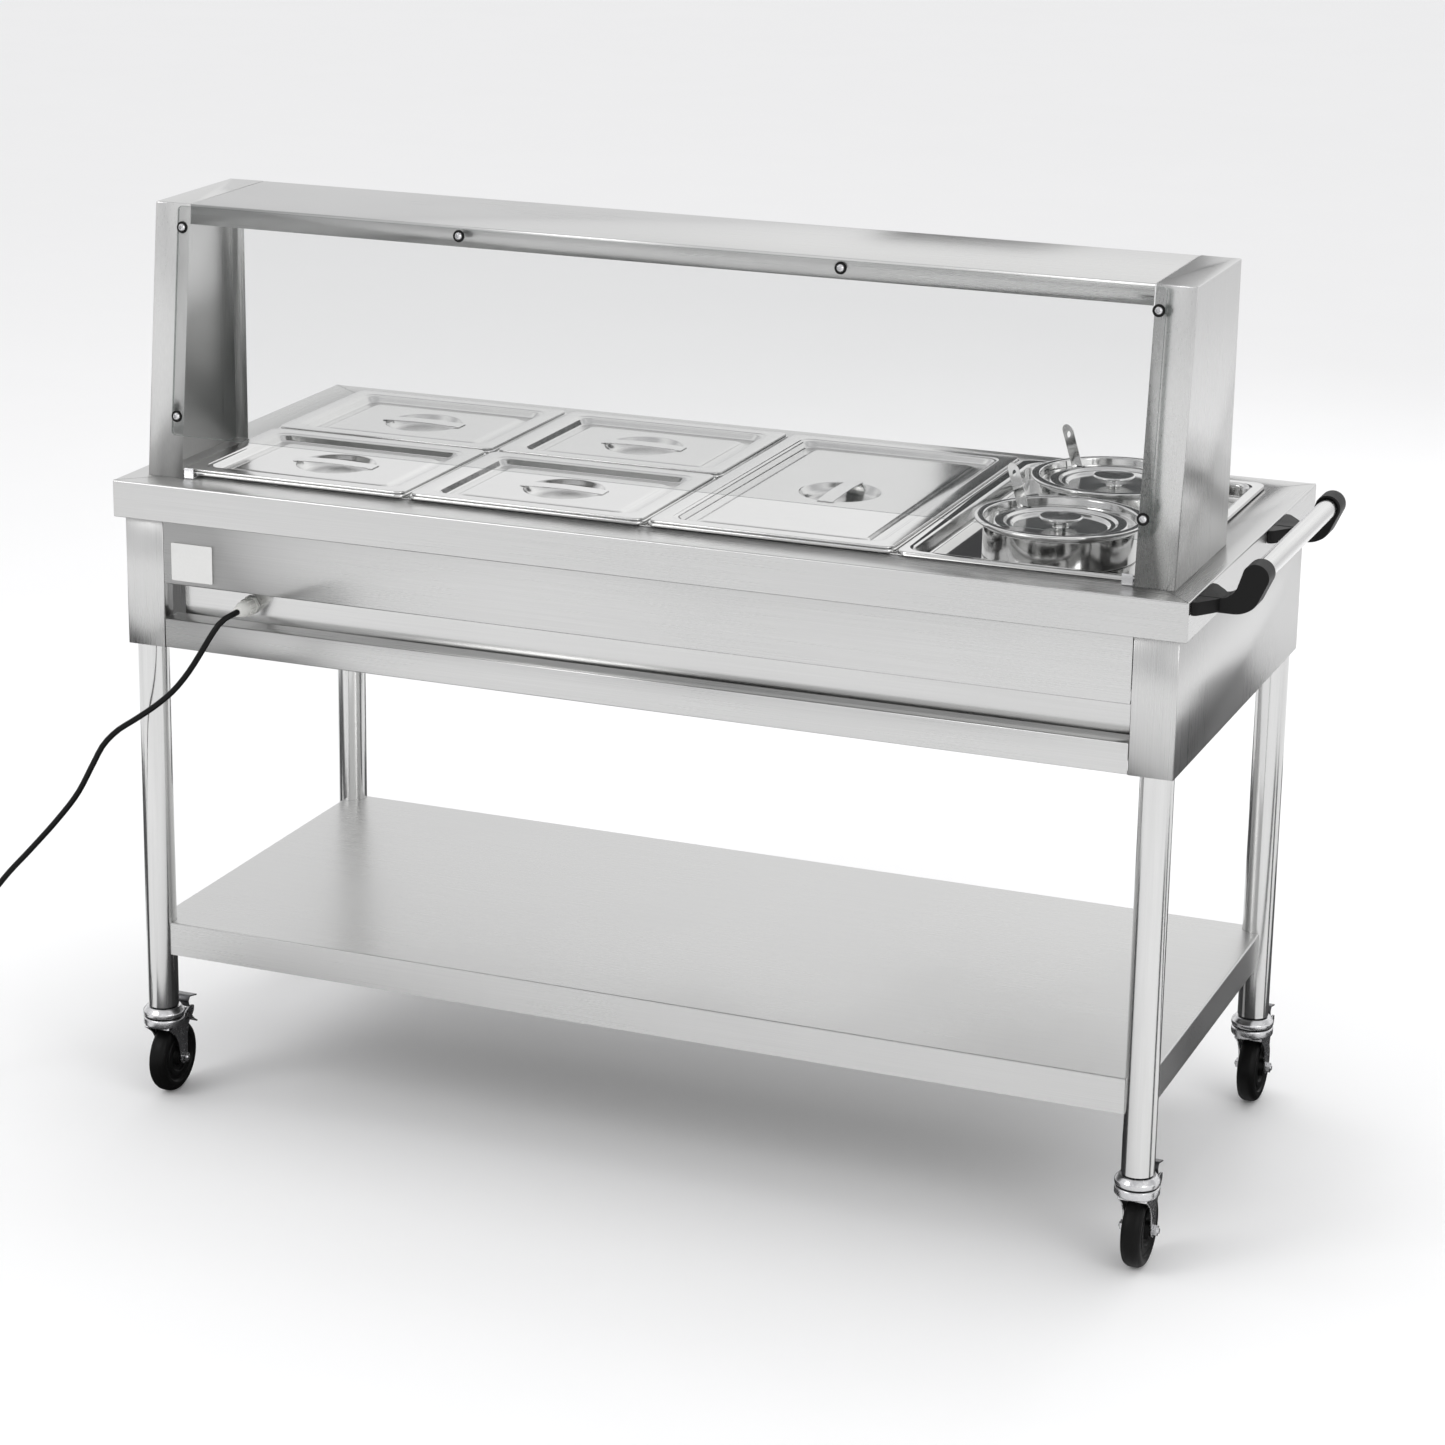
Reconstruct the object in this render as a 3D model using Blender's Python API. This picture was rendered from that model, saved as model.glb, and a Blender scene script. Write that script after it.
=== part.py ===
"""Steam table unit: a wheeled food-warming counter with lidded pans, soup pots and a sneeze guard.

Metres, +Z up, floor at z = 0. X runs along the counter, with the handle at +X, and Y runs from the
customers' side (-Y) to the operator's side (+Y). Every place below is measured from the point on the
floor under the middle of the counter. One empty then carries the whole unit, so that the origin lies
under the middle of its outer box, handle and brake pedals included.
"""

import math

import bmesh
import bpy
from mathutils import Matrix, Vector

# Clearances and sheet metal
GAP = 0.0003
SHEET = 0.0012
THIN_SHEET = 0.0008
FOLD = 0.012

# Counter and body
COUNTER_LENGTH = 1.456
COUNTER_DEPTH = 0.648
COUNTER_TOP = 0.880
FASCIA_HEIGHT = 0.050
BODY_INSET = 0.0115
BODY_BOTTOM = 0.655
PANEL_END = 0.6595
PANEL_SEAM = 0.0005
CORNER_RETURN = 0.022
UPPER_PANEL_BOTTOM = 0.743
RAIL_TOP = 0.695

# Well: casing, water tank, and the frame that the pan rims rest on
WELL_X = 0.0076
WELL_Y = 0.005
CASING_LENGTH = 1.3098
CASING_FRONT = -0.2785
CASING_BOTTOM = 0.662
TANK_DEPTH = 0.533
TANK_BOTTOM = 0.666
OPENING_DEPTH = 0.505
FRAME_STRIP = 0.0095
BAR_WIDTH = 0.020

# Pans and lids: four columns, of which two hold two half-size pans each
COLUMNS = (-0.4957, -0.1612, 0.1733, 0.5070)
PAN_WIDTH = 0.331
PAN_LENGTH = 0.535
HALF_PAN_LENGTH = 0.267
ROW_OFFSET = 0.135
PAN_RIM_TOP = 0.8865
PAN_LIP = 0.0047
PAN_RIM_WIDTH = 0.017
PAN_DEPTH = 0.150
PAN_TAPER = 0.018
LID_INSET = 0.003
LID_RIM_TOP = 0.8896
LID_LIP = 0.0027
LID_RIM_WIDTH = 0.026
LID_DROP = 0.009
DIMPLE_RADIUS = 0.054
STRAP_WIDTH = 0.022

# Soup adapter, pots and ladles
ADAPTER_DROP = 0.022
ADAPTER_RIM_WIDTH = 0.0145
POT_OFFSET = 0.119
POT_HOLE_RADIUS = 0.0940
POT_RADIUS = 0.0965
POT_RIM_RADIUS = 0.1075
POT_RIM_TOP = 0.914
POT_BOTTOM = 0.754
POT_LID_RADIUS = 0.0932
POT_LID_SEAT = 0.9025
LADLE_CROSSING = (-0.064, 0.053)
LADLE_LEAN = math.radians(17)
LADLE_WIDTH = 0.015
LADLE_TOP = 0.962
LADLE_BOTTOM = 0.785
LADLE_BOWL_RADIUS = 0.026

# Sneeze guard
GUARD_TOP = 1.240
POST_OUTER = 0.699
POST_WIDTH = 0.0508
POST_BACK_FLANGE = 0.0195
POST_FRONT_FOOT = -0.279
POST_FRONT_TOP = -0.240
POST_BACK = -0.037
CANOPY_END = 0.6464
CANOPY_FLANGE = 0.026
GLASS_HALF_LENGTH = 0.663
GLASS_BOTTOM = 0.937
GLASS_TOP = 1.237
GLASS_THICKNESS = 0.005

# Trolley handle
HANDLE_OUT = 0.0675
HANDLE_HEIGHT = 0.908
HANDLE_TUBE_RADIUS = 0.0125
SOCKET_RADIUS = 0.0165
SOCKET_LENGTH = 0.034
SOCKET_CENTRES = (-0.267, 0.102)

# Legs, shelf and casters
LEG_X = 0.6915
LEG_Y = 0.2900
LEG_RADIUS = 0.021
LEG_WALL = 0.0015
LEG_BOTTOM = 0.1335
SHELF_TOP = 0.258
SHELF_FLANGE = 0.0465
SHELF_HALF_LENGTH = 0.6985
SHELF_HALF_DEPTH = 0.2994
WHEEL_RADIUS = 0.050
WHEEL_TRAIL = 0.0205
WHEEL_WIDTH = 0.026
AXLE_RADIUS = 0.004
FORK_INNER = 0.0165
FORK_PLATE = 0.0025
PEDAL_PIVOT = (0.045, 0.113)
PEDAL_TIP = 0.073

# Cord: gland on the casing, tube along the free stretch, coil and plug on the floor
CORD_RADIUS = 0.004
GLAND_X = -0.547
GLAND_Z = 0.7185
GLAND_LENGTH = 0.040
COIL_CENTRE = (-1.090, -0.425)
COIL_MEAN_RADIUS = 0.045
COIL_HALF_WIDTH = 0.0085
COIL_HEIGHT = 0.0165
CORD_ROUTE = (
    (-0.5470, -0.3198, 0.7185),
    (-0.5472, -0.3330, 0.7183),
    (-0.5560, -0.3450, 0.7120),
    (-0.5670, -0.3540, 0.6940),
    (-0.5800, -0.3600, 0.6700),
    (-0.5980, -0.3640, 0.6410),
    (-0.6200, -0.3660, 0.6140),
    (-0.6460, -0.3670, 0.5910),
    (-0.6760, -0.3680, 0.5690),
    (-0.7060, -0.3690, 0.5480),
    (-0.7270, -0.3700, 0.5260),
    (-0.7440, -0.3710, 0.4960),
    (-0.7680, -0.3720, 0.4530),
    (-0.8010, -0.3730, 0.4110),
    (-0.8430, -0.3740, 0.3640),
    (-0.8870, -0.3750, 0.3160),
    (-0.9240, -0.3760, 0.2650),
    (-0.9500, -0.3770, 0.2050),
    (-0.9660, -0.3780, 0.1400),
    (-0.9810, -0.3790, 0.0800),
    (-1.0010, -0.3795, 0.0340),
    (-1.0280, -0.3800, 0.0100),
    (-1.0550, -0.3800, 0.0043),
)
CORD_POINTS = 54
PLUG_LENGTH = 0.048

# Operator's side controls
CONTROL_HEIGHT = 0.765
KNOB_X = 0.40
SWITCH_X = 0.50
SWITCH_TILT = math.radians(7)
VALVE_X = 0.30
VALVE_Z = 0.690

COUNTER_END = COUNTER_LENGTH / 2
COUNTER_EDGE = COUNTER_DEPTH / 2
BODY_END = COUNTER_END - BODY_INSET
BODY_FACE = COUNTER_EDGE - BODY_INSET
UNDER_COUNTER = COUNTER_TOP - SHEET - GAP
UNIT_SHIFT = Vector((
    -(HANDLE_OUT + SOCKET_RADIUS) / 2,
    -(LEG_Y + PEDAL_TIP - COUNTER_EDGE) / 2,
    0,
))


# ---------------------------------------------------------------- scene, materials and objects

def clear_scene():
    for obj in list(bpy.data.objects):
        bpy.data.objects.remove(obj)


def make_material(name, colour, roughness, metallic):
    material = bpy.data.materials.new(name)
    material.use_nodes = True
    shader = material.node_tree.nodes["Principled BSDF"]
    shader.inputs["Base Color"].default_value = (*colour, 1)
    shader.inputs["Roughness"].default_value = roughness
    shader.inputs["Metallic"].default_value = metallic
    return material


def make_materials():
    return {
        "brushed_steel": make_material("brushed_steel", (0.66, 0.66, 0.66), 0.32, 1),
        "polished_steel": make_material("polished_steel", (0.74, 0.74, 0.74), 0.14, 1),
        "zinc": make_material("zinc", (0.70, 0.71, 0.72), 0.22, 1),
        "glass": make_material("glass", (0.93, 0.96, 0.95), 0.03, 0),
        "black_plastic": make_material("black_plastic", (0.03, 0.03, 0.03), 0.55, 0),
        "rubber": make_material("rubber", (0.02, 0.02, 0.02), 0.7, 0),
        "cord_rubber": make_material("cord_rubber", (0.015, 0.015, 0.015), 0.5, 0),
        "white_plastic": make_material("white_plastic", (0.82, 0.82, 0.80), 0.4, 0),
        "brass": make_material("brass", (0.70, 0.55, 0.28), 0.3, 1),
    }


def place(obj, material, parent, location=(0, 0, 0), rotation=(0, 0, 0)):
    """Links the object into the scene with its material, at its place under its parent."""
    bpy.context.scene.collection.objects.link(obj)
    obj.data.materials.append(material)
    obj.parent = parent
    obj.location = location
    obj.rotation_euler = rotation
    return obj


def mesh_object(name, shape):
    """An object from a bmesh, round faces smooth and sharp edges kept."""
    bmesh.ops.remove_doubles(shape, verts=shape.verts, dist=1e-6)
    mesh = bpy.data.meshes.new(name)
    shape.to_mesh(mesh)
    shape.free()
    mesh.shade_smooth()
    mesh.set_sharp_from_angle(angle=math.radians(35))
    return bpy.data.objects.new(name, mesh)


def boolean(obj, other, operation):
    """Joins or cuts the object with another, which is then only a hidden helper."""
    modifier = obj.modifiers.new(operation.lower(), "BOOLEAN")
    modifier.operation = operation
    modifier.object = other
    other.hide_render = True
    other.display_type = "WIRE"


def helper(obj, parent=None, location=(0, 0, 0)):
    bpy.context.scene.collection.objects.link(obj)
    obj.parent = parent
    obj.location = location
    return obj


# ---------------------------------------------------------------- shapes

def box_shape(low, high):
    shape = bmesh.new()
    size = Vector(high) - Vector(low)
    middle = (Vector(high) + Vector(low)) / 2
    matrix = Matrix.Translation(middle) @ Matrix.Diagonal((*size, 1))
    bmesh.ops.create_cube(shape, size=1, matrix=matrix)
    return shape


def prism_shape(outline, low, high, axis):
    """An outline in the two other axes, in X, Y, Z order, drawn out along axis from low to high."""
    shape = bmesh.new()

    def point(pair, along):
        values = list(pair)
        values.insert(axis, along)
        return Vector(values)

    lower = [shape.verts.new(point(pair, low)) for pair in outline]
    upper = [shape.verts.new(point(pair, high)) for pair in outline]
    shape.faces.new(lower)
    shape.faces.new(upper)
    for i in range(len(outline)):
        j = (i + 1) % len(outline)
        shape.faces.new((lower[i], lower[j], upper[j], upper[i]))
    bmesh.ops.recalc_face_normals(shape, faces=shape.faces)
    return shape


def turned_shape(profile, segments, axis="Z"):
    """A solid turned from (radius, height) points, closed in itself or at two ends on the axis."""
    shape = bmesh.new()
    rings = []
    for radius, height in profile:
        count = segments if radius > 0 else 1
        rings.append([
            shape.verts.new((
                radius * math.cos(math.tau * i / segments),
                radius * math.sin(math.tau * i / segments),
                height,
            ))
            for i in range(count)
        ])
    pairs = list(zip(rings, rings[1:]))
    if profile[0][0] > 0:
        pairs.append((rings[-1], rings[0]))
    for lower, upper in pairs:
        for i in range(segments):
            j = (i + 1) % segments
            corners = [lower[i % len(lower)], lower[j % len(lower)]]
            corners += [upper[j % len(upper)], upper[i % len(upper)]]
            shape.faces.new(list(dict.fromkeys(corners)))
    bmesh.ops.recalc_face_normals(shape, faces=shape.faces)
    turns = {"X": Matrix.Rotation(math.pi / 2, 4, "Y"), "Y": Matrix.Rotation(-math.pi / 2, 4, "X")}
    if axis in turns:
        bmesh.ops.transform(shape, matrix=turns[axis], verts=shape.verts)
    return shape


def sheet_object(name, points, faces, up, thickness=SHEET):
    """Folded sheet metal: its outer faces, thickened inwards. up is the way that the first face looks."""
    shape = bmesh.new()
    corners = [shape.verts.new(point) for point in points]
    for face in faces:
        shape.faces.new([corners[i] for i in face])
    bmesh.ops.recalc_face_normals(shape, faces=shape.faces)
    shape.faces.ensure_lookup_table()
    if shape.faces[0].normal.dot(Vector(up)) < 0:
        bmesh.ops.reverse_faces(shape, faces=shape.faces)
    obj = mesh_object(name, shape)
    thicken(obj, thickness)
    return obj


def thicken(obj, thickness):
    modifier = obj.modifiers.new("thickness", "SOLIDIFY")
    modifier.thickness = thickness
    modifier.offset = -1
    modifier.use_even_offset = True


def rounded_ring(half_x, half_y, radius, height, steps=2):
    """A rectangle with round corners, as points anticlockwise seen from above."""
    points = []
    for quarter, (sx, sy) in enumerate(((1, 1), (-1, 1), (-1, -1), (1, -1))):
        for i in range(steps + 1):
            angle = math.pi / 2 * (quarter + i / steps)
            points.append(Vector((
                sx * (half_x - radius) + radius * math.cos(angle),
                sy * (half_y - radius) + radius * math.sin(angle),
                height,
            )))
    return points


def round_ring(like, radius, height):
    """A circle with as many points as another ring, from the same corner on."""
    count = len(like)
    angles = [math.tau * (i + 0.5) / count for i in range(count)]
    return [Vector((radius * math.cos(angle), radius * math.sin(angle), height)) for angle in angles]


def pressed_object(name, rings, thickness=THIN_SHEET):
    """A pressed tray: rings from its outer lip to its floor, capped there, and thickened downwards."""
    shape = bmesh.new()
    loops = [[shape.verts.new(point) for point in ring] for ring in rings]
    count = len(rings[0])
    for outer, inner in zip(loops, loops[1:]):
        for i in range(count):
            j = (i + 1) % count
            shape.faces.new((outer[i], outer[j], inner[j], inner[i]))
    shape.faces.new(loops[-1])
    bmesh.ops.recalc_face_normals(shape, faces=shape.faces)
    shape.faces.ensure_lookup_table()
    if shape.faces[-1].normal.z < 0:
        bmesh.ops.reverse_faces(shape, faces=shape.faces)
    obj = mesh_object(name, shape)
    thicken(obj, thickness)
    return obj


def strip_outline(path, thickness):
    """The outline of a bent strip: its path, and the path moved sideways by the thickness."""
    path = [Vector(point) for point in path]
    moved = []
    for i, point in enumerate(path):
        before = (point - path[i - 1]).normalized() if i else None
        after = (path[i + 1] - point).normalized() if i + 1 < len(path) else None
        before = before or after
        after = after or before
        along = (before + after).normalized()
        stretch = 1 / max(along.dot(after), 0.5)
        moved.append(point + Vector((-along.y, along.x)) * thickness * stretch)
    return [tuple(point) for point in path + moved[::-1]]


def smooth_points(route, count):
    """Points at even steps along a smooth curve through the route (centripetal Catmull-Rom)."""
    route = [Vector(point) for point in route]
    ends = [2 * route[0] - route[1], *route, 2 * route[-1] - route[-2]]
    dense = []
    for a, b, c, d in zip(ends, ends[1:], ends[2:], ends[3:]):
        knots = [0]
        for p, q in ((a, b), (b, c), (c, d)):
            knots.append(knots[-1] + math.sqrt((q - p).length))
        for i in range(24):
            t = knots[1] + (knots[2] - knots[1]) * i / 24
            ab = a.lerp(b, (t - knots[0]) / (knots[1] - knots[0]))
            bc = b.lerp(c, (t - knots[1]) / (knots[2] - knots[1]))
            cd = c.lerp(d, (t - knots[2]) / (knots[3] - knots[2]))
            abc = ab.lerp(bc, (t - knots[0]) / (knots[2] - knots[0]))
            bcd = bc.lerp(cd, (t - knots[1]) / (knots[3] - knots[1]))
            dense.append(abc.lerp(bcd, (t - knots[1]) / (knots[2] - knots[1])))
    dense.append(route[-1])
    lengths = [0]
    for p, q in zip(dense, dense[1:]):
        lengths.append(lengths[-1] + (q - p).length)
    points = []
    place_in = 0
    for i in range(count):
        wanted = lengths[-1] * i / (count - 1)
        while place_in < len(dense) - 2 and lengths[place_in + 1] < wanted:
            place_in += 1
        share = (wanted - lengths[place_in]) / (lengths[place_in + 1] - lengths[place_in])
        points.append(dense[place_in].lerp(dense[place_in + 1], share))
    return points


def rod_object(name, points, radius, resolution=2, cyclic=False):
    """A round rod along points, as a bevelled curve with filled ends."""
    curve = bpy.data.curves.new(name, "CURVE")
    curve.dimensions = "3D"
    curve.bevel_depth = radius
    curve.bevel_resolution = resolution
    curve.use_fill_caps = not cyclic
    spline = curve.splines.new("POLY")
    spline.points.add(len(points) - 1)
    for target, point in zip(spline.points, points):
        target.co = (*point, 1)
    spline.use_cyclic_u = cyclic
    return bpy.data.objects.new(name, curve)


# ---------------------------------------------------------------- counter and body

def add_counter_top(materials, unit):
    """Top with mitred corners round the well opening, a folded fascia and a return under it."""
    opening = [
        (WELL_X + sx * (CASING_LENGTH / 2 - 2 * SHEET), WELL_Y + sy * OPENING_DEPTH / 2)
        for sx, sy in ((-1, -1), (1, -1), (1, 1), (-1, 1))
    ]
    corners = [(sx * COUNTER_END, sy * COUNTER_EDGE) for sx, sy in ((-1, -1), (1, -1), (1, 1), (-1, 1))]
    returned = [
        (sx * (BODY_END + GAP), sy * (BODY_FACE + GAP)) for sx, sy in ((-1, -1), (1, -1), (1, 1), (-1, 1))
    ]
    low = COUNTER_TOP - FASCIA_HEIGHT
    points = [(x, y, COUNTER_TOP) for x, y in opening + corners]
    points += [(x, y, low) for x, y in corners + returned]
    faces = []
    for i in range(4):
        j = (i + 1) % 4
        faces.append((i, j, 4 + j, 4 + i))
        faces.append((4 + i, 4 + j, 8 + j, 8 + i))
        faces.append((8 + i, 8 + j, 12 + j, 12 + i))
    place(sheet_object("counter_top", points, faces, (0, 0, 1)), materials["brushed_steel"], unit)


def add_end_panel(name, side, materials, unit):
    """An end of the body, folded round both corners, with a narrow return behind each fold."""
    flange_end = PANEL_END + PANEL_SEAM
    outline = [
        (flange_end, -BODY_FACE + CORNER_RETURN),
        (flange_end, -BODY_FACE),
        (BODY_END, -BODY_FACE),
        (BODY_END, BODY_FACE),
        (flange_end, BODY_FACE),
        (flange_end, BODY_FACE - CORNER_RETURN),
    ]
    points = [(side * x, y, BODY_BOTTOM) for x, y in outline]
    points += [(side * x, y, UNDER_COUNTER) for x, y in outline]
    count = len(outline)
    middle = count // 2 - 1
    order = [middle] + [i for i in range(count - 1) if i != middle]
    faces = [(i, i + 1, count + i + 1, count + i) for i in order]
    place(sheet_object(name, points, faces, (side, 0, 0)), materials["brushed_steel"], unit)


def add_long_panel(name, face_y, low, high, low_fold, high_fold, materials, unit):
    """A panel along the body between the corner folds, its lower and upper edge folded inwards."""
    inward = -1 if face_y > 0 else 1
    bottom = low + GAP
    section = [(face_y, bottom), (face_y, high)]
    if low_fold:
        section.insert(0, (face_y + inward * low_fold, bottom))
    if high_fold:
        section.append((face_y + inward * high_fold, high))
    count = len(section)
    points = [(-PANEL_END, y, z) for y, z in section] + [(PANEL_END, y, z) for y, z in section]
    first = 1 if low_fold else 0
    order = [first] + [i for i in range(count - 1) if i != first]
    faces = [(i, i + 1, count + i + 1, count + i) for i in order]
    panel = sheet_object(name, points, faces, (0, -inward, 0))
    return place(panel, materials["brushed_steel"], unit)


def open_box(name, low, high, thickness):
    """A sheet-metal tub with no top."""
    (x0, y0, z0), (x1, y1, z1) = low, high
    ground = [(x0, y0), (x1, y0), (x1, y1), (x0, y1)]
    points = [(x, y, z0) for x, y in ground] + [(x, y, z1) for x, y in ground]
    faces = [(0, 1, 2, 3)] + [(i, (i + 1) % 4, 4 + (i + 1) % 4, 4 + i) for i in range(4)]
    return sheet_object(name, points, faces, (0, 0, -1), thickness)


def valve_hole(unit, y):
    """A cutter that lets the drain valve through a wall at y."""
    hole = turned_shape([(0, -0.01), (0.0125, -0.01), (0.0125, 0.01), (0, 0.01)], 16, "Y")
    return helper(mesh_object("valve_hole", hole), unit, (VALVE_X, y, VALVE_Z))


def add_body(materials, unit):
    add_counter_top(materials, unit)
    add_end_panel("left_end_panel", -1, materials, unit)
    add_end_panel("right_end_panel", 1, materials, unit)
    low, high = UPPER_PANEL_BOTTOM, UNDER_COUNTER
    add_long_panel("front_upper_panel", -BODY_FACE, low, high, FOLD, FOLD, materials, unit)
    low, high, fold = BODY_BOTTOM, RAIL_TOP, CASING_FRONT + BODY_FACE - GAP
    add_long_panel("front_lower_rail", -BODY_FACE, low, high, FOLD, fold, materials, unit)
    low, high = BODY_BOTTOM, UNDER_COUNTER
    rear = add_long_panel("rear_control_panel", BODY_FACE, low, high, FOLD, FOLD, materials, unit)
    boolean(rear, valve_hole(unit, BODY_FACE), "DIFFERENCE")

    half = CASING_LENGTH / 2
    casing = open_box(
        "well_casing",
        (WELL_X - half, CASING_FRONT, CASING_BOTTOM),
        (WELL_X + half, -CASING_FRONT, UNDER_COUNTER),
        SHEET,
    )
    place(casing, materials["brushed_steel"], unit)
    boolean(casing, valve_hole(unit, -CASING_FRONT), "DIFFERENCE")
    half -= SHEET + GAP
    tank = open_box(
        "water_tank",
        (WELL_X - half, -TANK_DEPTH / 2, TANK_BOTTOM),
        (WELL_X + half, TANK_DEPTH / 2, UNDER_COUNTER),
        THIN_SHEET,
    )
    place(tank, materials["polished_steel"], unit)


def add_heating_element(materials, unit):
    """A serpentine rod low in the water tank, its two ends at the tank's left wall."""
    wall = WELL_X - CASING_LENGTH / 2 + SHEET + GAP + THIN_SHEET + GAP
    reach, spread, height, turn_steps = 0.58, 0.070, TANK_BOTTOM + 0.022, 4
    points = [Vector((wall, -1.5 * spread, height))]
    for run in range(3):
        towards = 1 if run % 2 == 0 else -1
        middle = (run - 1) * spread
        for i in range(turn_steps + 1):
            angle = math.pi * i / turn_steps
            points.append(Vector((
                towards * (reach + spread / 2 * math.sin(angle)),
                middle - spread / 2 * math.cos(angle),
                height,
            )))
    points.append(Vector((wall, 1.5 * spread, height)))
    place(rod_object("heating_element", points, 0.005), materials["zinc"], unit)


def add_pan_frame(materials, unit):
    """The flat frame under the pan rims: a ring, three bars across and one lengthwise."""
    half_x = CASING_LENGTH / 2 - 2 * SHEET - 0.0012
    half_y = OPENING_DEPTH / 2
    xs = [WELL_X - half_x - FRAME_STRIP, WELL_X - half_x]
    for left, right in zip(COLUMNS, COLUMNS[1:]):
        xs += [(left + right) / 2 - BAR_WIDTH / 2, (left + right) / 2 + BAR_WIDTH / 2]
    xs += [WELL_X + half_x, WELL_X + half_x + FRAME_STRIP]
    ys = [WELL_Y - half_y - FRAME_STRIP, WELL_Y - half_y, WELL_Y - BAR_WIDTH / 2]
    ys += [WELL_Y + BAR_WIDTH / 2, WELL_Y + half_y, WELL_Y + half_y + FRAME_STRIP]
    top = COUNTER_TOP + GAP + SHEET
    points = [(x, y, top) for x in xs for y in ys]
    last_x, last_y = len(xs) - 2, len(ys) - 2
    faces = []
    for i in range(last_x + 1):
        for j in range(last_y + 1):
            on_ring = i in (0, last_x) or j in (0, last_y)
            on_bar = i % 2 == 0
            on_row = j == 2 and i < 4
            if on_ring or on_bar or on_row:
                corner = i * len(ys) + j
                faces.append((corner, corner + len(ys), corner + len(ys) + 1, corner + 1))
    place(sheet_object("pan_frame", points, faces, (0, 0, 1)), materials["brushed_steel"], unit)


# ---------------------------------------------------------------- pans, lids, pots

def pan_rings(half_x, half_y, rim_width, depth, taper):
    """A pan or adapter: lip, flat rim, wall and floor."""
    inner_x, inner_y = half_x - rim_width, half_y - rim_width
    floor = PAN_RIM_TOP - depth
    return [
        rounded_ring(half_x, half_y, 0.014, PAN_RIM_TOP - PAN_LIP),
        rounded_ring(half_x, half_y, 0.014, PAN_RIM_TOP),
        rounded_ring(inner_x, inner_y, 0.024, PAN_RIM_TOP),
        rounded_ring(inner_x - 0.0015, inner_y - 0.0015, 0.024, PAN_RIM_TOP - 0.003),
        rounded_ring(inner_x - taper, inner_y - taper, 0.024, floor + 0.006),
        rounded_ring(inner_x - taper - 0.006, inner_y - taper - 0.006, 0.018, floor),
    ]


def add_pan(name, x, y, length, materials, unit):
    rings = pan_rings(PAN_WIDTH / 2, length / 2, PAN_RIM_WIDTH, PAN_DEPTH, PAN_TAPER)
    place(pressed_object(name, rings), materials["polished_steel"], unit, (x, y, 0))


def add_lid(name, x, y, length, strap_along, materials, unit):
    """A pressed lid: lip, flat rim, channel, raised panel, and a finger dimple under a strap."""
    half_x, half_y = PAN_WIDTH / 2 - LID_INSET, length / 2 - LID_INSET
    low = LID_RIM_TOP - LID_DROP
    panel = low + 0.0025

    def ring(inset, radius, height):
        return rounded_ring(half_x - inset, half_y - inset, radius, height)

    panel_edge = ring(LID_RIM_WIDTH + 0.030, 0.010, panel)
    rings = [
        ring(0, 0.010, LID_RIM_TOP - LID_LIP),
        ring(0, 0.010, LID_RIM_TOP),
        ring(LID_RIM_WIDTH, 0.016, LID_RIM_TOP),
        ring(LID_RIM_WIDTH + 0.005, 0.014, low),
        ring(LID_RIM_WIDTH + 0.024, 0.010, low),
        panel_edge,
        round_ring(panel_edge, DIMPLE_RADIUS, panel),
        round_ring(panel_edge, DIMPLE_RADIUS - 0.012, panel - 0.012),
    ]
    lid = place(pressed_object(name, rings), materials["polished_steel"], unit, (x, y, 0))
    reach, across = DIMPLE_RADIUS + 0.004, STRAP_WIDTH / 2
    half = (reach, across) if strap_along == "X" else (across, reach)
    strap = mesh_object(
        name + "_strap",
        box_shape((-half[0], -half[1], panel - 0.0005), (half[0], half[1], panel + 0.0015)),
    )
    boolean(lid, helper(strap, unit, (x, y, 0)), "UNION")


def add_pans_and_lids(materials, unit):
    for number, x in enumerate(COLUMNS[:2], 1):
        for row, side in (("front", -1), ("back", 1)):
            y = WELL_Y + side * ROW_OFFSET
            add_pan(f"half_pan_{row}_{number}", x, y, HALF_PAN_LENGTH, materials, unit)
            add_lid(f"half_lid_{row}_{number}", x, y, HALF_PAN_LENGTH, "X", materials, unit)
    add_pan("full_pan", COLUMNS[2], WELL_Y, PAN_LENGTH, materials, unit)
    add_lid("full_lid", COLUMNS[2], WELL_Y, PAN_LENGTH, "Y", materials, unit)


def pot_centre(side):
    return COLUMNS[3], WELL_Y + side * POT_OFFSET


def add_soup_adapter(materials, unit):
    rings = pan_rings(PAN_WIDTH / 2, PAN_LENGTH / 2, ADAPTER_RIM_WIDTH, ADAPTER_DROP, 0.002)
    adapter = pressed_object("soup_adapter", rings)
    place(adapter, materials["polished_steel"], unit, (COLUMNS[3], WELL_Y, 0))
    for side in (-1, 1):
        profile = [(0, 0.84), (POT_HOLE_RADIUS, 0.84), (POT_HOLE_RADIUS, 0.88), (0, 0.88)]
        hole = mesh_object("pot_hole", turned_shape(profile, 22))
        boolean(adapter, helper(hole, unit, (*pot_centre(side), 0)), "DIFFERENCE")


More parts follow.
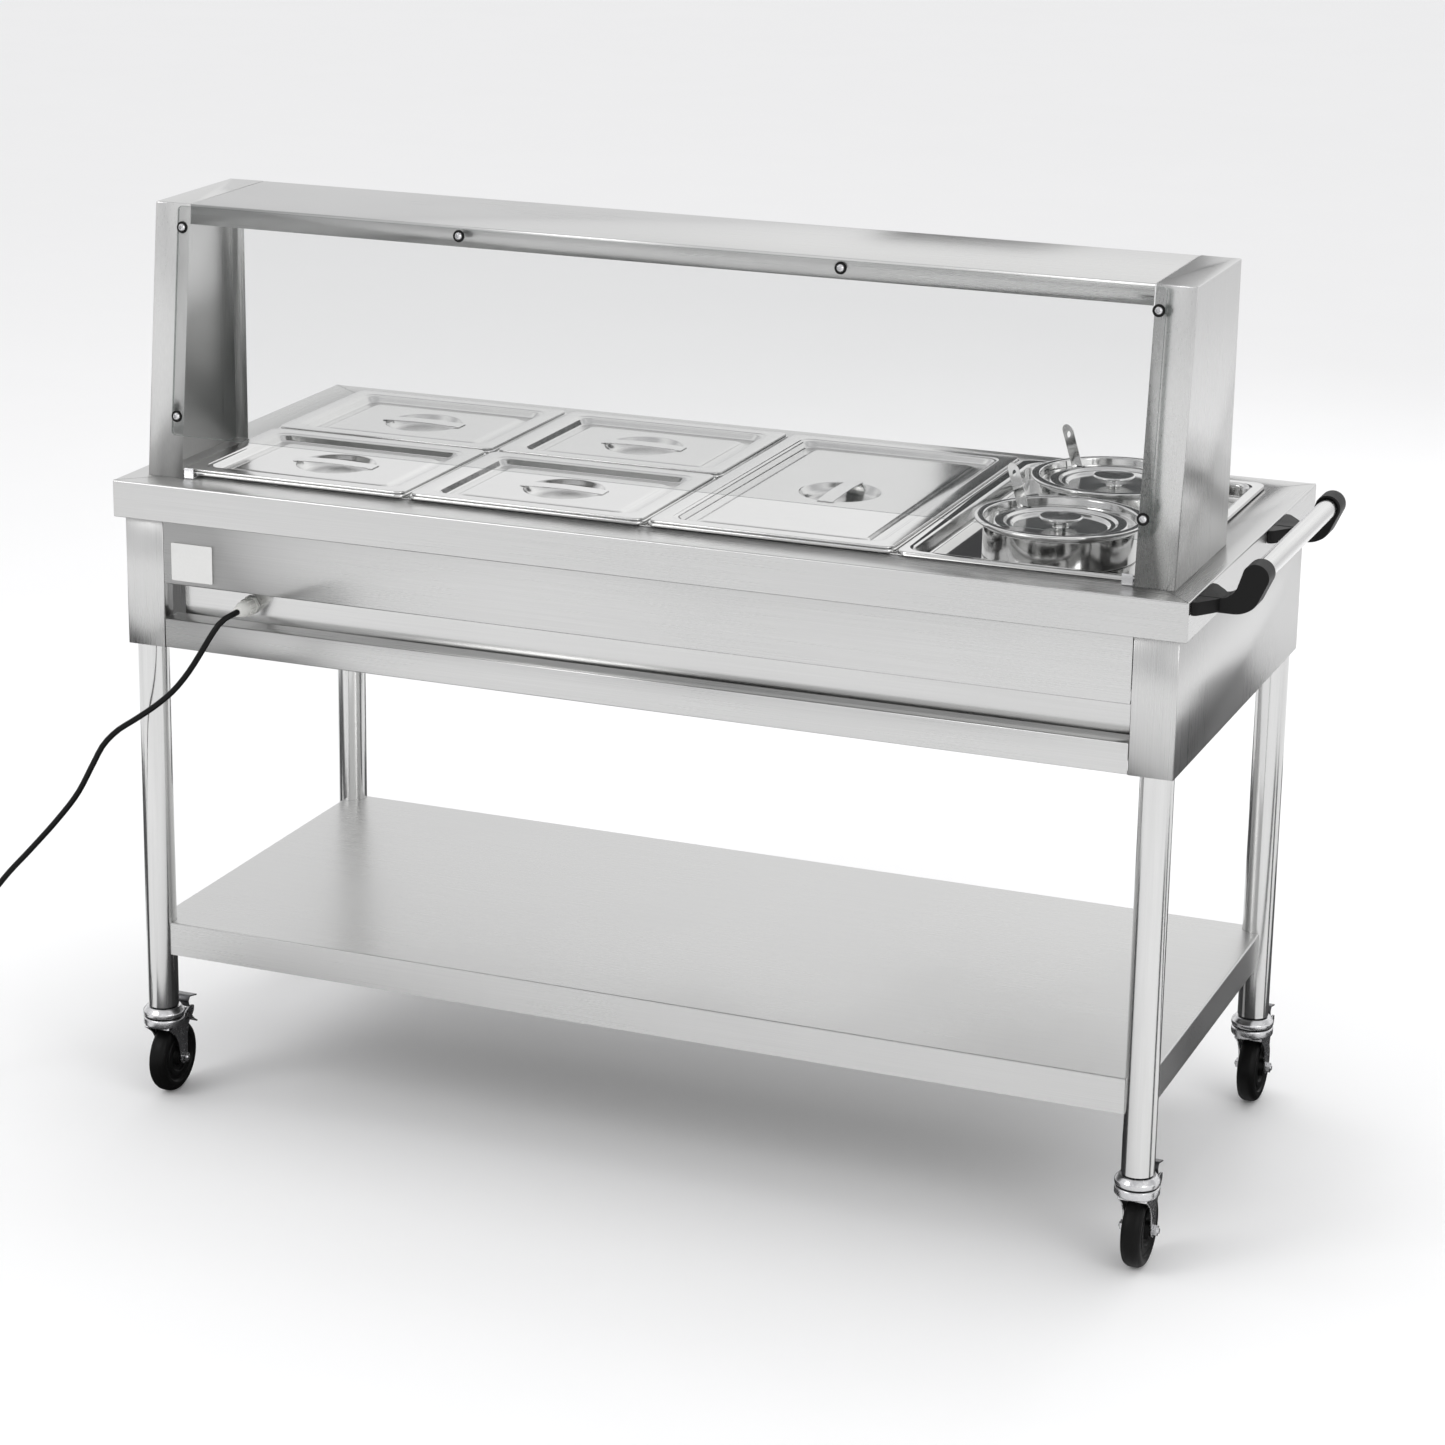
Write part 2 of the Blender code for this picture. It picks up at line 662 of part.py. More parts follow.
def add_pot(name, side, materials, unit):
    """A soup pot that hangs by a step in the adapter's hole, with a wide rim and a ledge for its lid."""
    seat = PAN_RIM_TOP - ADAPTER_DROP + GAP
    below = POT_HOLE_RADIUS - 0.0008
    wall = 0.001
    profile = [
        (0, POT_BOTTOM),
        (below - 0.010, POT_BOTTOM),
        (below, POT_BOTTOM + 0.008),
        (below, seat),
        (POT_RADIUS, seat),
        (POT_RADIUS, POT_RIM_TOP - 0.007),
        (POT_RIM_RADIUS, POT_RIM_TOP - 0.004),
        (POT_RIM_RADIUS, POT_RIM_TOP - 0.0005),
        (POT_RIM_RADIUS - 0.0115, POT_RIM_TOP),
        (POT_RADIUS - 0.0018, POT_LID_SEAT - GAP),
        (POT_RADIUS - 0.0055, POT_LID_SEAT - GAP),
        (POT_RADIUS - 0.0055, POT_LID_SEAT - GAP - wall),
        (POT_RADIUS - wall, POT_LID_SEAT - GAP - wall),
        (POT_RADIUS - wall, seat + wall),
        (below - wall, seat + wall),
        (below - wall, POT_BOTTOM + 0.009),
        (below - 0.011, POT_BOTTOM + wall),
        (0, POT_BOTTOM + wall),
    ]
    pot = mesh_object(name, turned_shape(profile, 22))
    place(pot, materials["polished_steel"], unit, (*pot_centre(side), 0))


def add_pot_lid(name, side, materials, unit):
    """A lid inset in the pot's rim, with a raised ring, a disc knob and a notch for the ladle."""
    wall = 0.001
    base = POT_LID_SEAT
    profile = [
        (0, base - 0.004),
        (0.050, base - 0.004),
        (0.062, base + 0.002),
        (0.078, base + 0.002),
        (0.084, base),
        (POT_LID_RADIUS, base),
        (POT_LID_RADIUS, base + wall),
        (0.085, base + wall),
        (0.079, base + wall + 0.002),
        (0.061, base + wall + 0.002),
        (0.049, base + wall - 0.004),
        (0.008, base + wall - 0.004),
        (0.008, base + 0.0075),
        (0.0275, base + 0.0085),
        (0.0275, base + 0.0115),
        (0, base + 0.0130),
    ]
    lid = mesh_object(name, turned_shape(profile, 22))
    place(lid, materials["polished_steel"], unit, (*pot_centre(side), 0))
    cut_x, cut_y = LADLE_CROSSING
    notch = box_shape(
        (-POT_RIM_RADIUS, cut_y - 0.004, base - 0.02),
        (cut_x + LADLE_WIDTH * 0.66, cut_y + 0.004, base + 0.02),
    )
    notch = helper(mesh_object(name + "_notch", notch), unit, (*pot_centre(side), 0))
    boolean(lid, notch, "DIFFERENCE")


def add_ladle(name, side, materials, unit):
    """A flat-handled ladle that leans through the lid's notch, its bowl low in the pot."""
    lean = math.tan(LADLE_LEAN)
    x, y = LADLE_CROSSING

    def along(height):
        return x - (height - POT_LID_SEAT) * lean

    half = LADLE_WIDTH / 2
    outline = [
        (along(LADLE_BOTTOM) - half, LADLE_BOTTOM),
        (along(LADLE_BOTTOM) + half, LADLE_BOTTOM),
        (along(LADLE_TOP - 0.005) + half, LADLE_TOP - 0.005),
        (along(LADLE_TOP) + half - 0.005, LADLE_TOP),
        (along(LADLE_TOP) - half + 0.005, LADLE_TOP),
        (along(LADLE_TOP - 0.005) - half, LADLE_TOP - 0.005),
    ]
    ladle = mesh_object(name, prism_shape(outline, y - 0.0008, y + 0.0008, 1))
    place(ladle, materials["polished_steel"], unit, (*pot_centre(side), 0))
    wall, steps = 0.0012, 3
    profile = []
    for radius in (LADLE_BOWL_RADIUS, LADLE_BOWL_RADIUS - wall):
        arc = [math.pi / 2 * i / steps for i in range(steps + 1)]
        points = [(radius * math.sin(angle), -radius * math.cos(angle)) for angle in arc]
        points[0] = (0, -radius)
        profile += points if not profile else points[::-1]
    bowl = mesh_object(name + "_bowl", turned_shape(profile, 12))
    centre_x, centre_y = pot_centre(side)
    bowl_x = along(LADLE_BOTTOM) + LADLE_BOWL_RADIUS - wall / 2
    place_at = (centre_x + bowl_x, centre_y + y, LADLE_BOTTOM + 0.006)
    boolean(ladle, helper(bowl, unit, place_at), "UNION")


def add_soup_set(materials, unit):
    add_soup_adapter(materials, unit)
    for row, side in (("front", -1), ("back", 1)):
        add_pot(f"soup_pot_{row}", side, materials, unit)
        add_pot_lid(f"pot_lid_{row}", side, materials, unit)
        add_ladle(f"ladle_{row}", side, materials, unit)


# ---------------------------------------------------------------- sneeze guard and handle

def lean_y(height):
    """The guard's sloping front plane."""
    share = (height - COUNTER_TOP) / (GUARD_TOP - COUNTER_TOP)
    return POST_FRONT_FOOT + (POST_FRONT_TOP - POST_FRONT_FOOT) * share


def add_guard_post(name, side, materials, unit):
    """An open channel: outer plate, sloping front flange, narrow back flange and a top."""
    foot = COUNTER_TOP + GAP
    outer, inner, back = (side * (POST_OUTER - width) for width in (0, POST_WIDTH, POST_BACK_FLANGE))
    points = [
        (outer, lean_y(foot), foot),
        (outer, POST_BACK, foot),
        (outer, POST_BACK, GUARD_TOP),
        (outer, POST_FRONT_TOP, GUARD_TOP),
        (inner, lean_y(foot), foot),
        (inner, POST_FRONT_TOP, GUARD_TOP),
        (back, POST_BACK, foot),
        (back, POST_BACK, GUARD_TOP),
        (inner, POST_BACK, GUARD_TOP),
    ]
    faces = [(0, 1, 2, 3), (0, 4, 5, 3), (1, 6, 7, 2), (3, 5, 8, 7, 2)]
    place(sheet_object(name, points, faces, (side, 0, 0)), materials["brushed_steel"], unit)


def add_canopy(materials, unit):
    section = [
        (lean_y(GUARD_TOP - CANOPY_FLANGE), GUARD_TOP - CANOPY_FLANGE),
        (POST_FRONT_TOP, GUARD_TOP),
        (POST_BACK, GUARD_TOP),
        (POST_BACK, GUARD_TOP - FOLD),
    ]
    points = [(-CANOPY_END, y, z) for y, z in section] + [(CANOPY_END, y, z) for y, z in section]
    faces = [(1, 2, 6, 5), (0, 1, 5, 4), (2, 3, 7, 6)]
    place(sheet_object("guard_canopy", points, faces, (0, 0, 1)), materials["brushed_steel"], unit)


def add_glass(materials, unit):
    """The pane, leaning against the posts and the canopy's front fold."""
    tilt = math.atan2(POST_FRONT_TOP - POST_FRONT_FOOT, GUARD_TOP - COUNTER_TOP)
    height = (GLASS_TOP - GLASS_BOTTOM) / math.cos(tilt)
    shape = bmesh.new()
    outline = rounded_ring(GLASS_HALF_LENGTH, height / 2, 0.006, 0)
    rows = [[shape.verts.new((p.x, depth, p.y)) for p in outline] for depth in (-GLASS_THICKNESS, 0)]
    shape.faces.new(rows[0])
    shape.faces.new(rows[1])
    for i in range(len(outline)):
        j = (i + 1) % len(outline)
        shape.faces.new((rows[0][i], rows[0][j], rows[1][j], rows[1][i]))
    bmesh.ops.recalc_face_normals(shape, faces=shape.faces)
    middle = (GLASS_TOP + GLASS_BOTTOM) / 2
    glass = mesh_object("guard_glass", shape)
    place(glass, materials["glass"], unit, (0, lean_y(middle) - 2 * GAP, middle), (-tilt, 0, 0))


def add_handle(materials, unit):
    """A tube in two black sockets, each on an arm that comes out of a foot on the counter's end."""
    axis_x = COUNTER_END + HANDLE_OUT
    foot_x = COUNTER_END + GAP
    low, high = 0.861, COUNTER_TOP - GAP
    arc = [math.radians(angle) for angle in (-30, 0, 30, 60, 90, 120, 150)]
    radius = SOCKET_RADIUS
    ring = [(axis_x + radius * math.cos(a), HANDLE_HEIGHT + radius * math.sin(a)) for a in arc]
    outline = [(foot_x, low), (axis_x - 0.016, low), (axis_x - 0.002, low + 0.006), *ring]
    outline += [(axis_x - 0.023, high + 0.009), (axis_x - 0.030, high + 0.002)]
    outline += [(axis_x - 0.036, high), (foot_x, high)]
    half = SOCKET_LENGTH / 2
    for row, y in zip(("front", "back"), SOCKET_CENTRES):
        bracket = mesh_object(f"handle_bracket_{row}", prism_shape(outline, -half, half, 1))
        place(bracket, materials["black_plastic"], unit, (0, y, 0))
        foot_outline = [(foot_x, -0.0485), (foot_x + 0.028, -half)]
        foot_outline += [(foot_x + 0.028, half), (foot_x, 0.0485)]
        foot = mesh_object("bracket_foot", prism_shape(foot_outline, low + 0.0015, high - 0.0005, 2))
        boolean(bracket, helper(foot, unit, (0, y, 0)), "UNION")
        inward = 1 if row == "front" else -1
        bore = HANDLE_TUBE_RADIUS + GAP
        ends = sorted((-inward * (half - 0.003), inward * (half + 0.01)))
        socket = turned_shape([(0, ends[0]), (bore, ends[0]), (bore, ends[1]), (0, ends[1])], 20, "Y")
        socket = helper(mesh_object("socket", socket), unit, (axis_x, y, HANDLE_HEIGHT))
        boolean(bracket, socket, "DIFFERENCE")
    reach = half - 0.003 - GAP
    start, end = SOCKET_CENTRES[0] - reach, SOCKET_CENTRES[1] + reach
    outer, inner = HANDLE_TUBE_RADIUS, HANDLE_TUBE_RADIUS - LEG_WALL
    tube = turned_shape([(outer, start), (outer, end), (inner, end), (inner, start)], 20, "Y")
    place(mesh_object("handle_tube", tube), materials["polished_steel"], unit, (axis_x, 0, HANDLE_HEIGHT))


# ---------------------------------------------------------------- legs, shelf and casters

def corner_places():
    return {
        "front_left": (-LEG_X, -LEG_Y),
        "front_right": (LEG_X, -LEG_Y),
        "back_left": (-LEG_X, LEG_Y),
        "back_right": (LEG_X, LEG_Y),
    }


def add_legs_and_shelf(materials, unit):
    inner = LEG_RADIUS - LEG_WALL
    profile = [(LEG_RADIUS, LEG_BOTTOM), (LEG_RADIUS, UNDER_COUNTER)]
    profile += [(inner, UNDER_COUNTER), (inner, LEG_BOTTOM)]
    low = SHELF_TOP - SHELF_FLANGE
    half_x, half_y = SHELF_HALF_LENGTH, SHELF_HALF_DEPTH
    ground = [(sx * half_x, sy * half_y) for sx, sy in ((-1, -1), (1, -1), (1, 1), (-1, 1))]
    points = [(x, y, SHELF_TOP) for x, y in ground] + [(x, y, low) for x, y in ground]
    faces = [(0, 1, 2, 3)] + [(i, (i + 1) % 4, 4 + (i + 1) % 4, 4 + i) for i in range(4)]
    shelf = place(sheet_object("under_shelf", points, faces, (0, 0, 1)), materials["brushed_steel"], unit)
    clear = LEG_RADIUS + GAP
    ends = (low - 0.01, SHELF_TOP + 0.01)
    around = [(0, ends[0]), (clear, ends[0]), (clear, ends[1]), (0, ends[1])]
    for corner, (x, y) in corner_places().items():
        leg = mesh_object(f"leg_{corner}", turned_shape(profile, 20))
        place(leg, materials["polished_steel"], unit, (x, y, 0))
        cutter = mesh_object("leg_notch", turned_shape(around, 20))
        boolean(shelf, helper(cutter, unit, (x, y, 0)), "DIFFERENCE")

    top = SHELF_TOP - SHEET - GAP
    section = [(-0.055, top), (-0.040, top), (-0.030, top - 0.028)]
    section += [(-y, z) for y, z in section[::-1]]
    count = len(section)
    points = [(-0.60, y, z) for y, z in section] + [(0.60, y, z) for y, z in section]
    faces = [(i, i + 1, count + i + 1, count + i) for i in (2, 0, 1, 3, 4)]
    stiffener = sheet_object("shelf_stiffener", points, faces, (0, 0, 1))
    place(stiffener, materials["brushed_steel"], unit, (0, 0, 0))


def fork_profile():
    """The swivel head: two ball races with a groove between them, and the stem up into the leg."""
    return [
        (0, 0.1045),
        (0.0255, 0.1045),
        (0.0285, 0.1070),
        (0.0285, 0.1165),
        (0.0265, 0.1180),
        (0.0287, 0.1200),
        (0.0287, 0.1255),
        (0.0235, 0.1320),
        (0.0105, 0.1325),
        (0.0105, 0.1650),
        (0, 0.1650),
    ]


def fork_plate_outline():
    """A side plate of the fork: wide under the head, narrow round the axle, with an ear for the pedal."""
    arc = [math.radians(angle) for angle in (200, 235, 270, 305, 340)]
    low = [(WHEEL_TRAIL + 0.0095 * math.cos(a), WHEEL_RADIUS + 0.0095 * math.sin(a)) for a in arc]
    front = [(-0.0215, 0.1060), (-0.0170, 0.1000), (-0.0020, 0.0890), (0.0070, 0.0740)]
    back = [(0.0305, 0.0800), (0.0350, 0.0960), (0.0500, 0.1075)]
    back += [(0.0510, 0.1175), (0.0400, 0.1195), (0.0215, 0.1120)]
    return front + low + back


def add_caster(corner, x, y, materials, unit):
    """A swivel caster: fork, wheel and brake pedal, each with its origin on its own axis."""
    swivel = helper(bpy.data.objects.new(f"swivel_{corner}", None), unit, (x, y, 0))
    fork = mesh_object(f"caster_fork_{corner}", turned_shape(fork_profile(), 16))
    place(fork, materials["zinc"], swivel)
    for side in (-1, 1):
        near, far = sorted((side * FORK_INNER, side * (FORK_INNER + FORK_PLATE)))
        plate = mesh_object("fork_plate", prism_shape(fork_plate_outline(), near, far, 0))
        boolean(fork, helper(plate, swivel), "UNION")
    reach = FORK_INNER + FORK_PLATE + 0.007
    nut = 0.0072
    bolt = [(0, -reach), (nut, -reach), (nut, 0.005 - reach), (AXLE_RADIUS, 0.005 - reach)]
    bolt += [(radius, -height) for radius, height in bolt[::-1]]
    axle = mesh_object("axle_bolt", turned_shape(bolt, 8, "X"))
    boolean(fork, helper(axle, swivel, (0, WHEEL_TRAIL, WHEEL_RADIUS)), "UNION")

    half, hub, bore = WHEEL_WIDTH / 2, FORK_INNER - 0.001, AXLE_RADIUS + 0.0006
    rim = WHEEL_RADIUS - 0.003
    side_profile = [(bore, hub), (0.0125, hub), (0.0140, half - 0.003)]
    side_profile += [(0.0300, half - 0.002), (rim, half - 0.001)]
    tread = [(WHEEL_RADIUS, half - 0.005)]
    profile = side_profile + tread
    profile += [(radius, -height) for radius, height in profile[::-1]]
    wheel = mesh_object(f"caster_wheel_{corner}", turned_shape(profile, 20, "X"))
    place(wheel, materials["rubber"], swivel, (0, WHEEL_TRAIL, WHEEL_RADIUS))

    pivot_y, pivot_z = PEDAL_PIVOT
    lower = strip_outline([(PEDAL_TIP, 0.0850), (PEDAL_TIP - 0.011, 0.0915), (pivot_y, 0.1130)], 0.0022)
    lower = [(min(a, PEDAL_TIP) - pivot_y, b - pivot_z) for a, b in lower]
    upper = [(0.0660, 0.1265), (0.0460, 0.1310), (0.0405, 0.1240), (pivot_y, 0.1110)]
    upper = strip_outline(upper, 0.0022)
    upper = [(a - pivot_y, b - pivot_z) for a, b in upper]
    width = FORK_INNER - 0.0015
    pedal = mesh_object(f"brake_pedal_{corner}", prism_shape(lower, -width, width, 0))
    place(pedal, materials["zinc"], swivel, (0, pivot_y, pivot_z))
    toe = mesh_object("pedal_toe", prism_shape(upper, -width, width, 0))
    boolean(pedal, helper(toe, swivel, (0, pivot_y, pivot_z)), "UNION")


# ---------------------------------------------------------------- controls and cord

def add_controls(materials, unit):
    """On the operator's side: thermostat knob, rocker switch, and the drain valve with its lever."""
    face = BODY_FACE + GAP
    knob = [(0, 0), (0.022, 0), (0.022, 0.004), (0.017, 0.006), (0.0155, 0.020), (0, 0.021)]
    knob = mesh_object("thermostat_knob", turned_shape(knob, 20, "Y"))
    place(knob, materials["black_plastic"], unit, (KNOB_X, face, CONTROL_HEIGHT))

    rocker = [(0.002, -0.012), (0, 0), (0.002, 0.012)]
    rocker += [(0.0065, 0.012), (0.0048, 0), (0.0065, -0.012)]
    rocker = mesh_object("power_switch", prism_shape(rocker, -0.008, 0.008, 0))
    tilt = (-SWITCH_TILT, 0, 0)
    place(rocker, materials["black_plastic"], unit, (SWITCH_X, face + 0.0015, CONTROL_HEIGHT), tilt)

    start = TANK_DEPTH / 2 + GAP
    valve = [(0, start), (0.011, start), (0.011, 0.318), (0.0145, 0.3185), (0.0145, 0.3300)]
    valve += [(0.0095, 0.3310), (0.0095, 0.3560), (0.0065, 0.3560), (0.0065, 0.3330), (0, 0.3330)]
    valve = mesh_object("drain_valve", turned_shape(valve, 16, "Y"))
    place(valve, materials["brass"], unit, (VALVE_X, 0, VALVE_Z))
    stem = turned_shape([(0, 0), (0.0045, 0), (0.0045, 0.0185), (0, 0.0185)], 12)
    stem = mesh_object("valve_stem", stem)
    boolean(valve, helper(stem, unit, (VALVE_X, 0.3245, VALVE_Z)), "UNION")

    lever = [(-0.009, -0.006), (0.006, -0.006), (0.006, 0.006)]
    lever += [(-0.009, 0.006), (-0.055, 0.0045), (-0.055, -0.0045)]
    lever = mesh_object("drain_lever", prism_shape(lever, 0, 0.003, 2))
    place(lever, materials["black_plastic"], unit, (VALVE_X, 0.3245, VALVE_Z + 0.0185 + GAP))


def add_cord(materials, unit):
    """Gland on the casing, the cord's free stretch, its coil, and the plug beside the coil."""
    face = CASING_FRONT - GAP
    gland = [(0, 0), (0.0130, 0), (0.0130, 0.007), (0.0105, 0.0075), (0.0105, 0.020)]
    gland += [(0.0098, 0.030), (0.0060, GLAND_LENGTH), (0, GLAND_LENGTH)]
    gland = turned_shape([(radius, -height) for radius, height in gland], 18, "Y")
    place(mesh_object("cord_gland", gland), materials["white_plastic"], unit, (GLAND_X, face, GLAND_Z))

    cord = rod_object("power_cord", smooth_points(CORD_ROUTE, CORD_POINTS), CORD_RADIUS)
    place(cord, materials["cord_rubber"], unit)

    x, y = COIL_CENTRE
    inner, outer = COIL_MEAN_RADIUS - COIL_HALF_WIDTH, COIL_MEAN_RADIUS + COIL_HALF_WIDTH
    low, high = GAP, COIL_HEIGHT
    ring = [(outer, low), (outer, high), (inner, high), (inner, low)]
    place(mesh_object("cord_coil", turned_shape(ring, 28)), materials["cord_rubber"], unit, (x, y, 0))

    body = [(0, 0), (0.0055, 0), (0.0065, 0.020), (0.0145, 0.024), (0.0155, 0.028)]
    body += [(0.0155, PLUG_LENGTH - 0.001), (0.0145, PLUG_LENGTH), (0, PLUG_LENGTH)]
    plug = mesh_object("plug", turned_shape(body, 20, "X"))
    place(plug, materials["black_plastic"], unit, (x + 0.0365, y - COIL_MEAN_RADIUS, 0.0160))
    for pin_y, pin_z, half_y in ((-0.0063, 0.003, 0.0008), (0.0063, 0.003, 0.0008), (0, -0.0075, 0.0023)):
        low = (PLUG_LENGTH - 0.002, pin_y - half_y, pin_z - 0.003)
        high = (PLUG_LENGTH + 0.017, pin_y + half_y, pin_z + 0.003)
        pin = helper(mesh_object("plug_pin", box_shape(low, high)), unit, plug.location)
        boolean(plug, pin, "UNION")


def main():
    clear_scene()
    materials = make_materials()
    unit = helper(bpy.data.objects.new("unit", None), None, UNIT_SHIFT)
    add_body(materials, unit)
    add_heating_element(materials, unit)
    add_pan_frame(materials, unit)
    add_pans_and_lids(materials, unit)
    add_soup_set(materials, unit)
    add_guard_post("guard_post_left", -1, materials, unit)
    add_guard_post("guard_post_right", 1, materials, unit)
    add_canopy(materials, unit)
    add_glass(materials, unit)
    add_handle(materials, unit)
    add_legs_and_shelf(materials, unit)
    for corner, (x, y) in corner_places().items():
        add_caster(corner, x, y, materials, unit)
    add_controls(materials, unit)
    add_cord(materials, unit)


main()
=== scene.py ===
"""Looks of the steam table unit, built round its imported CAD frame.

Metres, +Z up. Every piece is drawn from the point on the floor under the middle of the counter,
as in the CAD, and then moved to where the frame has that point.
"""

import math

import bmesh
import bpy
from mathutils import Matrix, Vector


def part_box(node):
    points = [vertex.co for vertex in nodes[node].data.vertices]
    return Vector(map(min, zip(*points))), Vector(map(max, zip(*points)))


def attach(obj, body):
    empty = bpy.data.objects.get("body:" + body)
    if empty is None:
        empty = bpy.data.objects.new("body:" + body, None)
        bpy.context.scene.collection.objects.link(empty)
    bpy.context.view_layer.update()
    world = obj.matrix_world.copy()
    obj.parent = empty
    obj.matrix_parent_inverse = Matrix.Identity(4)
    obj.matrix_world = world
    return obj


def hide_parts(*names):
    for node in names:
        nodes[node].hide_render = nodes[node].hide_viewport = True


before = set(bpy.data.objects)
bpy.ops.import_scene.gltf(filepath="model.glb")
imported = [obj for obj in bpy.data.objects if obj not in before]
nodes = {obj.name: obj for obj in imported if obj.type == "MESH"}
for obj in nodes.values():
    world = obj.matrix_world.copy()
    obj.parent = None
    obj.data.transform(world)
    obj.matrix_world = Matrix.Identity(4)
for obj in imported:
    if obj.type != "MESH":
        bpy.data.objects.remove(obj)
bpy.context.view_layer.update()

# ---------------------------------------------------------------- sizes

GAP = 0.0003
SHEET = 0.0012
THIN_SHEET = 0.0008

COUNTER_LOW, COUNTER_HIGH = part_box("counter_top")
CENTRE = Vector(((COUNTER_LOW.x + COUNTER_HIGH.x) / 2, (COUNTER_LOW.y + COUNTER_HIGH.y) / 2, 0))
COUNTER_END = (COUNTER_HIGH.x - COUNTER_LOW.x) / 2
COUNTER_EDGE = (COUNTER_HIGH.y - COUNTER_LOW.y) / 2
COUNTER_TOP = COUNTER_HIGH.z
FASCIA_BOTTOM = COUNTER_LOW.z
UNDER_COUNTER = COUNTER_TOP - SHEET - GAP
BODY_INSET = 0.0115
BODY_END = COUNTER_END - BODY_INSET
BODY_FACE = COUNTER_EDGE - BODY_INSET
BODY_BOTTOM = 0.655
PANEL_END = 0.6595
PANEL_SEAM = 0.0005
CORNER_RETURN = 0.022
UPPER_PANEL_BOTTOM = 0.743
RAIL_TOP = 0.695
FOLD = 0.012
LABEL_CENTRE = (-0.6175, 0.77505)

WELL_X = 0.0076
WELL_Y = 0.005
CASING_LENGTH = 1.3098
CASING_FRONT = -0.2785
OPENING_DEPTH = 0.505

COLUMNS = (-0.4957, -0.1612, 0.1733, 0.5070)
PAN_WIDTH = 0.331
PAN_LENGTH = 0.535
HALF_PAN_LENGTH = 0.267
ROW_OFFSET = 0.135
PAN_RIM_TOP = 0.8865
PAN_LIP = 0.0047
PAN_RIM_WIDTH = 0.017
PAN_DEPTH = 0.150
PAN_TAPER = 0.018
LID_INSET = 0.003
LID_RIM_TOP = 0.8896
LID_LIP = 0.0027
LID_RIM_WIDTH = 0.026
LID_DROP = 0.009
DIMPLE_RADIUS = 0.054
STRAP_WIDTH = 0.022

ADAPTER_DROP = 0.022
ADAPTER_RIM_WIDTH = 0.0145
POT_OFFSET = 0.119
POT_HOLE_RADIUS = 0.0940
POT_RADIUS = 0.0965
POT_RIM_RADIUS = 0.1075
POT_RIM_TOP = 0.914
POT_BOTTOM = 0.754
POT_LID_RADIUS = 0.0932
POT_LID_SEAT = 0.9025
LADLE_CROSSING = (-0.064, 0.053)
LADLE_LEAN = math.radians(17)
LADLE_WIDTH = 0.015
LADLE_TOP = 0.962
LADLE_BOTTOM = 0.785
LADLE_BOWL_RADIUS = 0.026

GUARD_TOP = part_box("guard_canopy")[1].z
POST_OUTER = 0.699
POST_WIDTH = 0.0508
POST_BACK_FLANGE = 0.0195
POST_FRONT_FOOT = -0.279
POST_FRONT_TOP = -0.240
POST_BACK = -0.037
CANOPY_END = 0.6464
CANOPY_FLANGE = 0.026
GLASS_HALF_LENGTH = 0.663
GLASS_BOTTOM = 0.937
GLASS_TOP = 1.237
GLASS_THICKNESS = 0.005

HANDLE_OUT = 0.0675
HANDLE_HEIGHT = 0.908
HANDLE_TUBE_RADIUS = 0.0125
SOCKET_RADIUS = 0.0165
SOCKET_LENGTH = 0.034
SOCKET_CENTRES = (-0.267, 0.102)

LEG_X = 0.6915
LEG_Y = 0.2900
LEG_RADIUS = 0.021
LEG_WALL = 0.0015
LEG_BOTTOM = 0.1335
SHELF_TOP = 0.258
SHELF_FLANGE = 0.0465
SHELF_HALF_LENGTH = 0.6985
SHELF_HALF_DEPTH = 0.2994
WHEEL_RADIUS = 0.050
WHEEL_TRAIL = 0.0205
AXLE_RADIUS = 0.004
FORK_INNER = 0.0165
FORK_PLATE = 0.0025
PEDAL_PIVOT = (0.045, 0.113)
PEDAL_TIP = 0.073

CORNERS = {
    "front_left": (-LEG_X, -LEG_Y),
    "front_right": (LEG_X, -LEG_Y),
    "back_left": (-LEG_X, LEG_Y),
    "back_right": (LEG_X, LEG_Y),
}

# Directions and half widths, in degrees, of the dark strips on the floor that the legs mirror.
LEG_STRIPES = ((180, 17), (76, 13), (11, 7))
STRIPE_LENGTH = 1.6

CORD_RADIUS = 0.004
GLAND_X = -0.547
GLAND_Z = 0.7185
GLAND_LENGTH = 0.040
COIL_CENTRE = (-1.090, -0.425)
COIL_TURNS = ((0.0495, 0.0045), (0.0405, 0.0045), (0.0450, 0.0122))
COIL_POINTS = 24
CORD_ROUTE = (
    (-0.547, -0.3198, 0.7185), (-0.5472, -0.333, 0.7183), (-0.556, -0.345, 0.712),
    (-0.567, -0.354, 0.694), (-0.58, -0.36, 0.67), (-0.598, -0.364, 0.641),
    (-0.62, -0.366, 0.614), (-0.646, -0.367, 0.591), (-0.676, -0.368, 0.569),
    (-0.706, -0.369, 0.548), (-0.727, -0.37, 0.526), (-0.744, -0.371, 0.496),
    (-0.768, -0.372, 0.453), (-0.801, -0.373, 0.411), (-0.843, -0.374, 0.364),
    (-0.887, -0.375, 0.316), (-0.924, -0.376, 0.265), (-0.95, -0.377, 0.205),
    (-0.966, -0.378, 0.14), (-0.981, -0.379, 0.08), (-1.001, -0.3795, 0.034),
    (-1.028, -0.38, 0.01), (-1.052, -0.3795, 0.0045),
)
PLUG_LENGTH = 0.048

CONTROL_HEIGHT = 0.765
KNOB_X = 0.40
SWITCH_X = 0.50
VALVE_X = 0.30
VALVE_Z = 0.690
VALVE_START = 0.2668


# ---------------------------------------------------------------- materials

